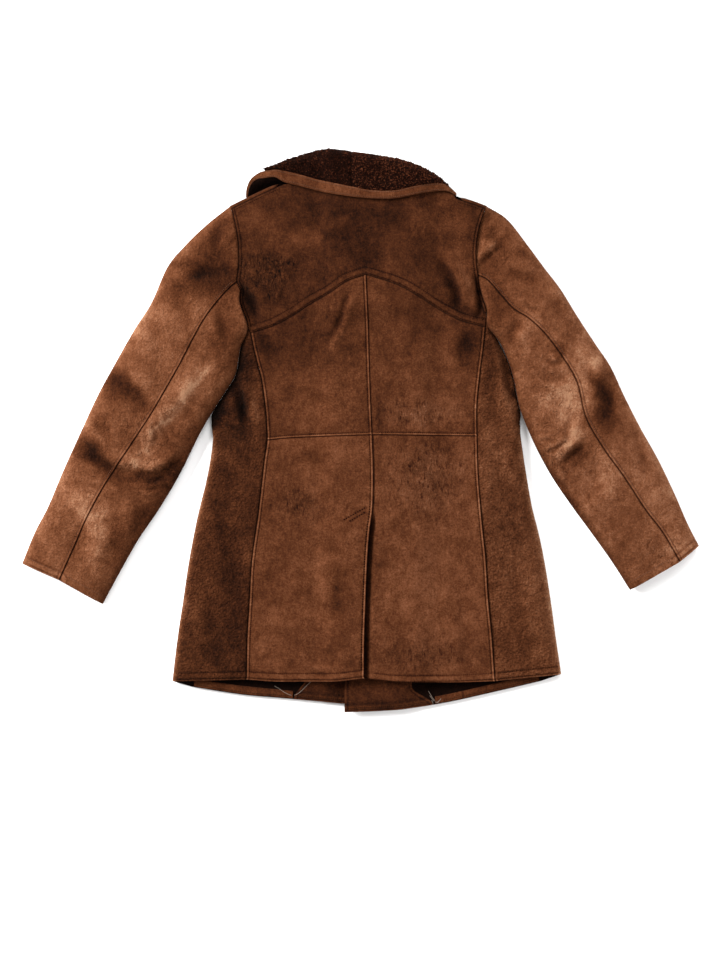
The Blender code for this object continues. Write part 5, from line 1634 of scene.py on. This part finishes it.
def make_facing(side, plan, level):
    """The suede facing inside a front's free edge, wider toward the hem."""
    grid = lift(plan, level + SEAM_GAP)
    down = lengths_along(plan[::-1, -1])
    count = int(np.searchsorted(down, FACING_RISE))
    first = len(plan) - 1 - count
    above, at_hem = FACING_REACH[side]
    rows = np.concatenate([np.arange(first, len(plan) - 1), [len(plan) - 1.12]])
    shares = spaced(110.0, 3.2)
    columns = []
    for row in rows:
        rise = blend(down[len(plan) - 1 - int(row)] / 34.0)
        start = column_at(grid, int(row), at_hem + (above - at_hem) * rise)
        columns.append(start + shares * (plan.shape[1] - 1.15 - start))
    bottom = sample_grid(grid, rows[:, None], np.array(columns))
    x, y = bottom[:, :, 0], bottom[:, :, 1]
    borders = [("edge", bottom[:, 0, :2]), ("hem", bottom[-1, :, :2]), ("edge", bottom[:, -1, :2])]
    seams, shade = add_seams(x, y, borders)
    top = bottom.copy()
    top[:, :, 2] += FACING_WALL + 0.35 * np.clip(seams, -2.4, 1) + 0.3 * noise(x, y, 22.0, 51)
    tone = tone_of("trim", x, y) + shade - 0.04
    return trim_wall("facing_" + side, top, bottom, tone), top


def make_hem_band(side, plan, level):
    """The suede band inside a front's hem, from the side seam to the facing."""
    grid = lift(plan, level + 2 * SEAM_GAP)
    last = len(plan) - 1
    stop = column_at(grid, last, FACING_REACH[side][1]) - 0.25
    columns = np.arange(0.4, stop, 0.55)
    run = lengths_along(plan[::-1, plan.shape[1] // 2])
    shares = np.array([1.0, 0.94, 0.84, 0.7, 0.5, 0.3, 0.16, 0.06, 0.0])
    rows = last - np.interp(0.6 + shares * HEM_BAND_WIDTH, run, np.arange(len(run)))
    bottom = sample_grid(grid, rows[:, None], columns[None, :])
    x, y = bottom[:, :, 0], bottom[:, :, 1]
    across = np.abs(shares - 0.5)[:, None] * 2
    crown = np.sqrt(np.maximum(1.0 - across ** 6, 0.0))
    join = bell(x - BAND_JOIN[side], 1.3)
    top = bottom.copy()
    top[:, :, 2] += 0.3 + (BAND_WALL - 0.3) * crown * (1 - 0.6 * join) + 0.2 * noise(x, y, 14, 52)
    tone = tone_of("trim", x, y) - 0.2 * join - 0.08 * across ** 4 + 0.05
    return trim_wall("hem_band_" + side, top, bottom, tone), top


# ------------------------------------------------------------------------ collar
def seat_of(x, low, up):
    """The level on which the collar lies, clear of the yoke."""
    y = np.array([low, up])
    return float(back_top(np.full(2, x), y).max()) + 3 * LAYER_GAP


def fall_ring(x, low, up, roll, shrink):
    """Section of the fall: on the yoke, over the roll and down behind the neck seam."""
    seat = seat_of(x, low, up)
    depth = roll - up
    loft_here = FALL_LOFT * min(1.0, 0.45 + depth / 40.0) * (1.0 - 0.22 * shrink)
    roll = roll - 0.8 * shrink
    neck = min(392.5, roll - 6.0)
    lip = min(0.35 * depth, 14.0)
    ring = [
        (up + SEAM_GAP, seat), (neck, seat), (neck, ROLL_BOTTOM),
        (roll - 0.30 * lip - 3.0, ROLL_BOTTOM), (roll - 0.5, ROLL_BOTTOM + 5.0),
        (roll, 0.5 * (ROLL_BOTTOM + seat)), (roll - 0.35 * lip, seat + 0.55 * loft_here),
        (roll - lip, seat + loft_here), (up + 0.55 * depth, seat + 1.06 * loft_here),
        (up + 0.4 * lip, seat + loft_here), (up + SEAM_GAP, seat + 0.62 * loft_here),
    ]
    if neck < up + 1.0:
        ring[1] = (up + 0.8, seat)
        ring[2] = (up + 0.8, ROLL_BOTTOM + 5.0)
    ring = rounded_corners(np.array(ring), 2)
    return np.column_stack([np.full(len(ring), x), ring])


def make_fall(side):
    """One half of the collar's fall, and the tufts of its wool."""
    split = COLLAR_CENTRE_ROW
    rows = [FALL_TIP] + COLLAR_ROWS[:split + 1] if side == "left" else COLLAR_ROWS[split:]
    stations = np.linspace(0, len(rows) - 1, 84)
    table = smooth_at(rows, stations)
    centre_x = COLLAR_ROWS[split].x
    if side == "left":
        table[-1, 0] -= 0.2 * SEAM_GAP
    rings = []
    for x, low, up, roll in table:
        shrink = math.exp(-(abs(x - centre_x) / 2.6) ** 2)
        rings.append(fall_ring(x, low, up, roll, shrink))
    rings = np.array(rings)
    lumps = (0.9 * noise(rings[:, :, 0] + 2 * rings[:, :, 2], rings[:, :, 1], 8.0, 61)
             + 0.5 * noise(rings[:, :, 0], rings[:, :, 1] + rings[:, :, 2], 4.0, 62))
    above = rings[:, :, 2] > rings[:, :, 2].min() + 6.0
    rings[:, :, 2] += lumps * above
    return loft("collar_fall_" + side + "_wool", rings, WOOL_DARK), rings


TUFT_SIDES = 4
TUFT_RINGS = ((0.0, 0.9, -0.3), (0.5, 1.1, 0.0), (0.85, 0.8, 0.14))   # place, width, tone; the tone is painted shade at the root and painted highlight toward the tip


def grow_tufts(name, spots, length, radius, seed, base_tone):
    """Small bent curls of wool; spots are (point, normal)."""
    draw = np.random.default_rng(seed)
    count = len(spots)
    roots = np.array([spot[0] for spot in spots])
    normals = np.array([spot[1] for spot in spots])
    heading = 0.62 * normals + draw.normal(0.0, 0.55, (count, 3))
    heading /= np.linalg.norm(heading, axis=1)[:, None]
    curl = draw.normal(0.0, 0.8, (count, 3)) - 0.5 * normals
    reach = length * draw.uniform(0.6, 1.25, count)[:, None]
    thick = radius * draw.uniform(0.7, 1.3, count)
    tint = (base_tone + draw.normal(0.0, 0.15, count)
            + 0.16 * noise(roots[:, 0], roots[:, 1] + roots[:, 2], 5.0, seed))
    side = np.cross(heading, np.array([0.31, 0.17, 0.93]))
    side /= np.linalg.norm(side, axis=1)[:, None]
    across = np.cross(heading, side)
    points, tones = [], []
    for share, width, paler in TUFT_RINGS:
        middle = roots - 0.6 * normals + heading * reach * share + curl * share ** 2 * reach * 0.45
        for k in range(TUFT_SIDES):
            angle = 2 * math.pi * k / TUFT_SIDES
            arm = math.cos(angle) * side + math.sin(angle) * across
            points.append(middle + arm * (thick * width)[:, None])
            tones.append(tint + paler)
    tip = middle + heading * (0.6 * thick)[:, None]
    points.append(tip)
    # painted highlight at the tip
    tones.append(tint + 0.2)
    grid = np.stack(points, 1).reshape(-1, 3)
    shades = np.stack(tones, 1).ravel()
    last = (len(TUFT_RINGS) - 1) * TUFT_SIDES
    top = last + TUFT_SIDES
    pattern = tube_faces(len(TUFT_RINGS), TUFT_SIDES)
    pattern += [[last + k, last + (k + 1) % TUFT_SIDES, top] for k in range(TUFT_SIDES)]
    pattern.append(list(range(TUFT_SIDES))[::-1])
    faces = [[(top + 1) * n + k for k in face] for n in range(count) for face in pattern]
    return add_mesh(name, grid, faces, [TUFTS], None, shades)


def spots_on_rings(rings, spacing, seed, keep):
    """Scattered spots with normals on a lofted surface, where keep(point) is true."""
    draw = np.random.default_rng(seed)
    turned = np.roll(rings, -1, axis=1)
    a, b, c, d = rings[:-1], turned[:-1], turned[1:], rings[1:]
    normal = np.cross(c - a, d - b)
    area = 0.5 * np.linalg.norm(normal, axis=-1)
    unit = normal / np.maximum(2 * area, 1e-9)[..., None]
    heart = rings.mean(axis=(0, 1))
    facing = np.sign((unit * (a - heart)).sum(axis=-1))
    unit = unit * (1 if (facing * area).sum() > 0 else -1)
    counts = draw.poisson(area / spacing ** 2)
    spots = []
    for i, j in zip(*np.nonzero(counts)):
        for _ in range(counts[i, j]):
            s, t = draw.uniform(0, 1, 2)
            point = ((1 - s) * ((1 - t) * a[i, j] + t * b[i, j])
                     + s * ((1 - t) * d[i, j] + t * c[i, j]))
            if keep(point, unit[i, j]):
                spots.append((point, unit[i, j]))
    return spots


def shows_wool(point, normal):
    """Whether the fall's wool stands up here: not at its seams, and not against the yoke."""
    clear = abs(point[0] - COLLAR_ROWS[COLLAR_CENTRE_ROW].x) > 1.0 and point[2] > 12.0
    return clear and (normal[2] > 0.15 or (normal[1] > 0.3 and normal[2] > -0.35))


RIB_PITCH = 4.2      # of the fine ribs across the binding's middle


def make_binding():
    """The suede band round the free edge, down round the neck's left side."""
    rows = [CollarRow(149.0, 365.8, 369.2, 0.0), CollarRow(143.5, 368.6, 374.6, 0.0)]
    rows += reversed(COLLAR_ROWS)
    table = []
    for row in rows:
        seat = seat_of(row.x, row.low, row.up)
        thick = BINDING_LOFT if row.x <= COLLAR_ROWS[-1].x else 3.5
        table.append([(row.x, row.low, seat), (row.x, row.up, seat),
                      (row.x, row.up, seat + thick), (row.x, row.low, seat + 0.8 * thick)])
    for row in BINDING_TAIL:
        table.append([(*row.inner, row.bottom), (*row.outer, row.bottom),
                      (*row.outer, row.top - 1.0), (*row.inner, row.top)])
    table = np.array(table).reshape(len(table), 12)
    stations = np.linspace(0, len(table) - 1, 300)
    corners = smooth_at(table, stations).reshape(len(stations), 4, 3)
    rings = []
    for bottom_in, bottom_out, top_out, top_in in corners:
        shares = np.array([0.0, 0.12, 0.3, 0.5, 0.7, 0.88, 1.0])
        top = top_out + shares[:, None] * (top_in - top_out)
        dip = bell(shares - 0.14, 0.07) + bell(shares - 0.86, 0.07)
        crown = 0.5 * np.sin(np.pi * shares) - 0.35 * dip
        top[:, 2] += crown
        ring = np.vstack([bottom_in, bottom_out, top])
        rings.append(rounded_corners(ring, 1))
    rings = np.array(rings)
    x, y = rings[:, :, 0], rings[:, :, 1]
    ribs = blend((x + 30.0) / 12.0) * blend((68.0 - x) / 12.0)
    upper = rings[:, :, 2] > rings[:, :, 2].mean(axis=1, keepdims=True)
    wave = 2 * np.pi * x / RIB_PITCH
    rings[:, :, 2] += upper * (0.16 * ribs * np.cos(wave) + 0.25 * noise(x, y, 9, 71))
    edge_light = np.zeros_like(x)
    edge_light[:, 3:6] = 0.10
    # painted shade and highlight across the ribs, a step off their crests
    tone = tone_of("binding", x, y) + edge_light - 0.03 * ribs * np.cos(wave + 1)
    return loft("collar_binding_suede", rings, SUEDES["suede_trim"], tone), corners


LEAF_POINTS = 26     # across a leaf


def make_leaf(side):
    """A front end of the collar, flat on the floor beneath the front, wool all over."""
    rows = LEAF_ROWS[side]
    table = smooth_at(rows, np.linspace(0, len(rows) - 1, 60))
    rings = []
    for row_x, low, up in table:
        y = np.linspace(0.0, 1.0, LEAF_POINTS) * (up - low) + low
        x = np.full(LEAF_POINTS, row_x)
        edge = np.minimum(y - low, up - y)
        top = LEAF_WALL + edge_round(edge, 5.0, 3.0) + 0.3 * noise(x, y, 8.0, 81)
        bottom = -edge_round(edge, 3.0, 2.0) + 0.3 + 0.3 * noise(x, y, 8.0, 82)
        upper = np.column_stack([x, y, np.minimum(top, LEAF_WALL)])
        lower = np.column_stack([x, y, np.maximum(bottom, 0.0)])
        rings.append(np.vstack([upper, lower[::-1]]))
    return loft("collar_leaf_" + side + "_wool", rings, WOOL_LEAF_SHADED)


# --------------------------------------------------------------------- stitching
def part_of(line, start, end):
    """The stretch of a curve between two shares of its length."""
    return at_shares(line, np.linspace(start, end, 160))


def sew_body(back_grids, side_grids):
    """Stitched rows on the back: beside each lapped edge and above the hem."""
    yoke, *upper_lower = (surface_of(back_grids[name]) for name in BACK_PARTS)
    upper, lower = dict(zip(SIDES, upper_lower[:2])), dict(zip(SIDES, upper_lower[2:]))

    def beside(surface, name, start, end, inset):
        return surface, offset_line(part_of(LINES[name], start, end), inset)

    rows = [(yoke, offset_line(part_of(armhole(side), 0.04, 0.95),
                               INTO[side] * (STITCH_INSET + 0.6))) for side in SIDES]
    dark_rows = [beside(yoke, "yoke_" + side, 0.02, 0.98, inset)
                 for side in SIDES for inset in YOKE_ROWS]
    for side in SIDES:
        line = shoulder(side) + inward(side) * (SHOULDER_ROLL + 5.0)
        inset = INTO[side] * STITCH_INSET
        rows += [(yoke, part_of(line, 0.08, 0.92)),
                 beside(upper[side], "princess_" + side + "_upper", 0.02, 0.97, inset),
                 beside(lower[side], "princess_" + side + "_lower", 0.03, 0.97, inset),
                 beside(upper[side], "waist_" + side, 0.04, 0.96, 3.6)]
        dark_rows += [beside(lower[side], "hem_" + side, 0.03, 0.975, rise) for rise in HEM_ROWS]
    rows += [beside(upper["left"], "centre_upper", 0.04, 0.96, -4.6),
             beside(lower["left"], "centre_lower", 0.02, 0.26, -4.6)]
    vent = [beside(lower["left"], "centre_lower", 0.27, 0.97, -4.2)]
    vent += [(lower["left"], at_shares(line, np.linspace(0, 1, 20))) for line in VENT_TACKS]
    for side in SIDES:
        surface = surface_of(side_grids[side])
        hem_row = BODY_ROWS[HEM_ROW]._asdict()
        line = at_shares([hem_row["edge_" + side], hem_row["seam_" + side]],
                         np.linspace(0.05, 0.97, 40))
        dark_rows += [(surface, line + (0.0, rise)) for rise in HEM_ROWS]
    return (stitch_rows("back_stitches", rows, THREAD_DARK),
            stitch_rows("dark_stitches", dark_rows, THREAD_DARK),
            stitch_rows("vent_stitches", vent, THREAD_DARK, COARSE_THREAD))


CUFF_ROW = 11.5      # stitched row above a cuff


def sew_sleeve(side, grids):
    """The stitched row beside the back seam and the one above the cuff."""
    top, under = surface_of(grids["top"]), surface_of(grids["under"])
    rows_of = SLEEVE_ROWS[side]
    seam = smooth([row.seam for row in rows_of], 300)
    rows = [(top, offset_line(part_of(seam, 0.01, 0.985), -INTO[side] * STITCH_INSET))]
    upper, inner_edge = sleeve_section(side, len(rows_of) - 1.0)
    above, _ = sleeve_section(side, len(rows_of) - 1.25)
    middle = len(upper) // 2
    toward = above[middle] - upper[middle]
    rise = CUFF_ROW * toward / np.linalg.norm(toward)
    rows.append((top, at_shares(upper, np.linspace(0.04, 0.98, 60)) + rise))
    line = at_shares([upper[-1], inner_edge], np.linspace(0.02, 0.95, 60))
    rows.append((under, line + rise))
    return stitch_rows("sleeve_" + side + "_stitches", rows, THREAD)


LOOSE_ENDS = {
    "left": [[(-134.9, -397.8), (-104.5, -412.5), (-77.7, -391.6)]],
    "right": [[(108.0, -413.0), (118.0, -424.0), (126.0, -417.0), (116.0, -428.0), (111.0, -420.0)],
              [(106.0, -406.0), (113.0, -417.0), (120.0, -426.0)]],
}


def sew_fronts(front_grids):
    """Stitches on the facings and hem bands where they show, and beneath the coat."""
    rows = []
    for side in SIDES:
        facing = surface_of(front_grids[side]["facing"])
        band = surface_of(front_grids[side]["band"])
        x = FRONT_EDGE[side] - INTO[side] * 6.5
        hem = smooth(FRONT_HEM[side], 200)
        rows.append((facing, at_shares([(x, -330.0), (x, -424.0)], np.linspace(0, 1, 50))))
        rows.append((facing, part_of(hem, 0.5, 0.985) + (0.0, 6.4)))
        rows.append((band, part_of(hem, 0.02, 0.5) + (0.0, 4.4)))
    loose = []
    for side, lines in LOOSE_ENDS.items():
        surface = surface_of(*front_grids[side].values())
        loose += [(surface, smooth(line, 60)) for line in lines]
    return (stitch_rows("front_stitches", rows, THREAD_DARK),
            stitch_rows("loose_threads", loose, THREAD_PALE, LOOSE_THREAD))


def sew_binding(corners):
    """Two stitched rows along the binding."""
    surface = surface_of(np.stack([corners[:, 2], corners[:, 3]], 1) + (0, 0, 0.35))
    rows = []
    for share in (0.16, 0.84):
        line = corners[:, 2, :2] + share * (corners[:, 3, :2] - corners[:, 2, :2])
        rows.append((surface, line[8:-8]))
    return stitch_rows("binding_stitches", rows, THREAD)


# ------------------------------------------------------------------------- build
TUFT_SPACING = 1.6
TUFT_LENGTH = 2.5
TUFT_RADIUS = 0.78
FALL_TUFTS = {"left": (5, 0.33), "right": (6, 0.52)}      # seed and tone

# What each piece was cut from: width and length, the cut's own area, and what it rests on.
Cut = namedtuple("Cut", "flat area rests_on")


def declare(piece, node, *sewn_on):
    """Hides the CAD node that a piece stands for; the piece and what is sewn on it are not used."""
    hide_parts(node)


def build():
    """Every piece of the coat."""
    makers = (make_yoke, lambda: make_upper("left"), lambda: make_upper("right"),
              make_lower_left, make_lower_right)
    back, back_grids = {}, {}
    for name, make in zip(BACK_PARTS, makers):
        back[name], back_grids[name] = make()
    sides = {side: make_side(side) for side in SIDES}
    sleeves = {side: make_sleeve(side) for side in SIDES}
    fronts = {side: make_front(side) for side in SIDES}
    falls = {side: make_fall(side) for side in SIDES}
    leaves = {side: make_leaf(side) for side in SIDES}
    binding, binding_corners = make_binding()

    back_stitches, dark_stitches, vent_stitches = sew_body(
        back_grids, {side: sides[side][1] for side in SIDES})
    sleeve_stitches = {side: sew_sleeve(side, sleeves[side][1]) for side in SIDES}
    front_stitches, loose_threads = sew_fronts({side: fronts[side][1] for side in SIDES})
    binding_stitches = sew_binding(binding_corners)

    sewn_on = {"back_yoke": [back_stitches, dark_stitches], "back_lower_left": [vent_stitches]}
    for name in BACK_PARTS:
        declare(back[name], name, *sewn_on.get(name, []))
    for side in SIDES:
        declare(sides[side][0], "side_" + side)
        sleeve, front = sleeves[side][0], fronts[side][0]
        declare(sleeve["top"], "sleeve_" + side + "_top", sleeve_stitches[side])
        declare(sleeve["under"], "sleeve_" + side + "_under")
        declare(front["front"], "front_" + side,
                front_stitches if side == "left" else loose_threads)
        declare(front["facing"], "facing_" + side)
        declare(front["band"], "hem_band_" + side)
        fall, rings = falls[side]
        seed, base_tone = FALL_TUFTS[side]
        spots = spots_on_rings(rings, TUFT_SPACING, seed, shows_wool)
        tufts = grow_tufts("collar_tufts_" + side, spots, TUFT_LENGTH, TUFT_RADIUS, seed, base_tone)
        declare(fall, "collar_fall_" + side, tufts)
        declare(leaves[side], "collar_leaf_" + side)
    declare(binding, "collar_binding", binding_stitches)


# ------------------------------------------------------------------------- studio
FRAME_HEIGHT = 1.4976     # of the surface that the camera sees, in metres
FRAME_MIDDLE = (-0.0008, -0.0764)
CAMERA_HEIGHT = 4.2
SUBJECT_LEVEL = 0.012
SENSOR = 36.0
FLOOR_HALF = 6.0
FLOOR_LEVEL = -0.0004
WORLD_STRENGTH = 0.62


def make_studio():
    """A pale floor, soft lights at both sides and above, and the camera straight above."""
    mesh = bpy.data.meshes.new("floor")
    corners = [(FLOOR_HALF * x, FLOOR_HALF * y, 0) for x, y in ((-1, -1), (1, -1), (1, 1), (-1, 1))]
    mesh.from_pydata(corners, [], [(0, 1, 2, 3)])
    floor = bpy.data.objects.new("floor", mesh)
    n = Nodes("floor_paper")
    n.shader.inputs["Base Color"].default_value = (0.94, 0.94, 0.94, 1.0)
    n.finish(0.9, 0.0, 0.5, (1, 1, 1), 0.1)
    mesh.materials.append(n.material)
    floor.location.z = FLOOR_LEVEL
    bpy.context.scene.collection.objects.link(floor)

    for name, place, size, power in (
            ("light_left", (-4.4, 2.0, 2.7), (2.4, 2.4), 980.0),
            ("light_right", (5.0, -0.4, 2.0), (2.4, 2.4), 235.0),
            ("light_top", (1.2, 3.4, 3.8), (3.0, 2.0), 175.0)):
        data = bpy.data.lights.new(name, "AREA")
        data.shape = "RECTANGLE"
        data.size, data.size_y = size
        data.energy = power
        lamp = bpy.data.objects.new(name, data)
        lamp.location = place
        lamp.rotation_euler = (-Vector(place)).to_track_quat("-Z", "Y").to_euler()
        bpy.context.scene.collection.objects.link(lamp)

    world = bpy.data.worlds.new("studio")
    world.use_nodes = True
    background = world.node_tree.nodes["Background"]
    background.inputs["Color"].default_value = (1.0, 0.99, 0.98, 1.0)
    background.inputs["Strength"].default_value = WORLD_STRENGTH
    bpy.context.scene.world = world

    data = bpy.data.cameras.new("camera")
    data.sensor_fit = "VERTICAL"
    data.sensor_height = SENSOR
    data.lens = SENSOR * (CAMERA_HEIGHT - SUBJECT_LEVEL) / FRAME_HEIGHT
    camera = bpy.data.objects.new("camera", data)
    camera.location = (*FRAME_MIDDLE, CAMERA_HEIGHT)
    bpy.context.scene.collection.objects.link(camera)
    bpy.context.scene.camera = camera
    bpy.context.scene.view_settings.view_transform = "Standard"


build()
make_studio()
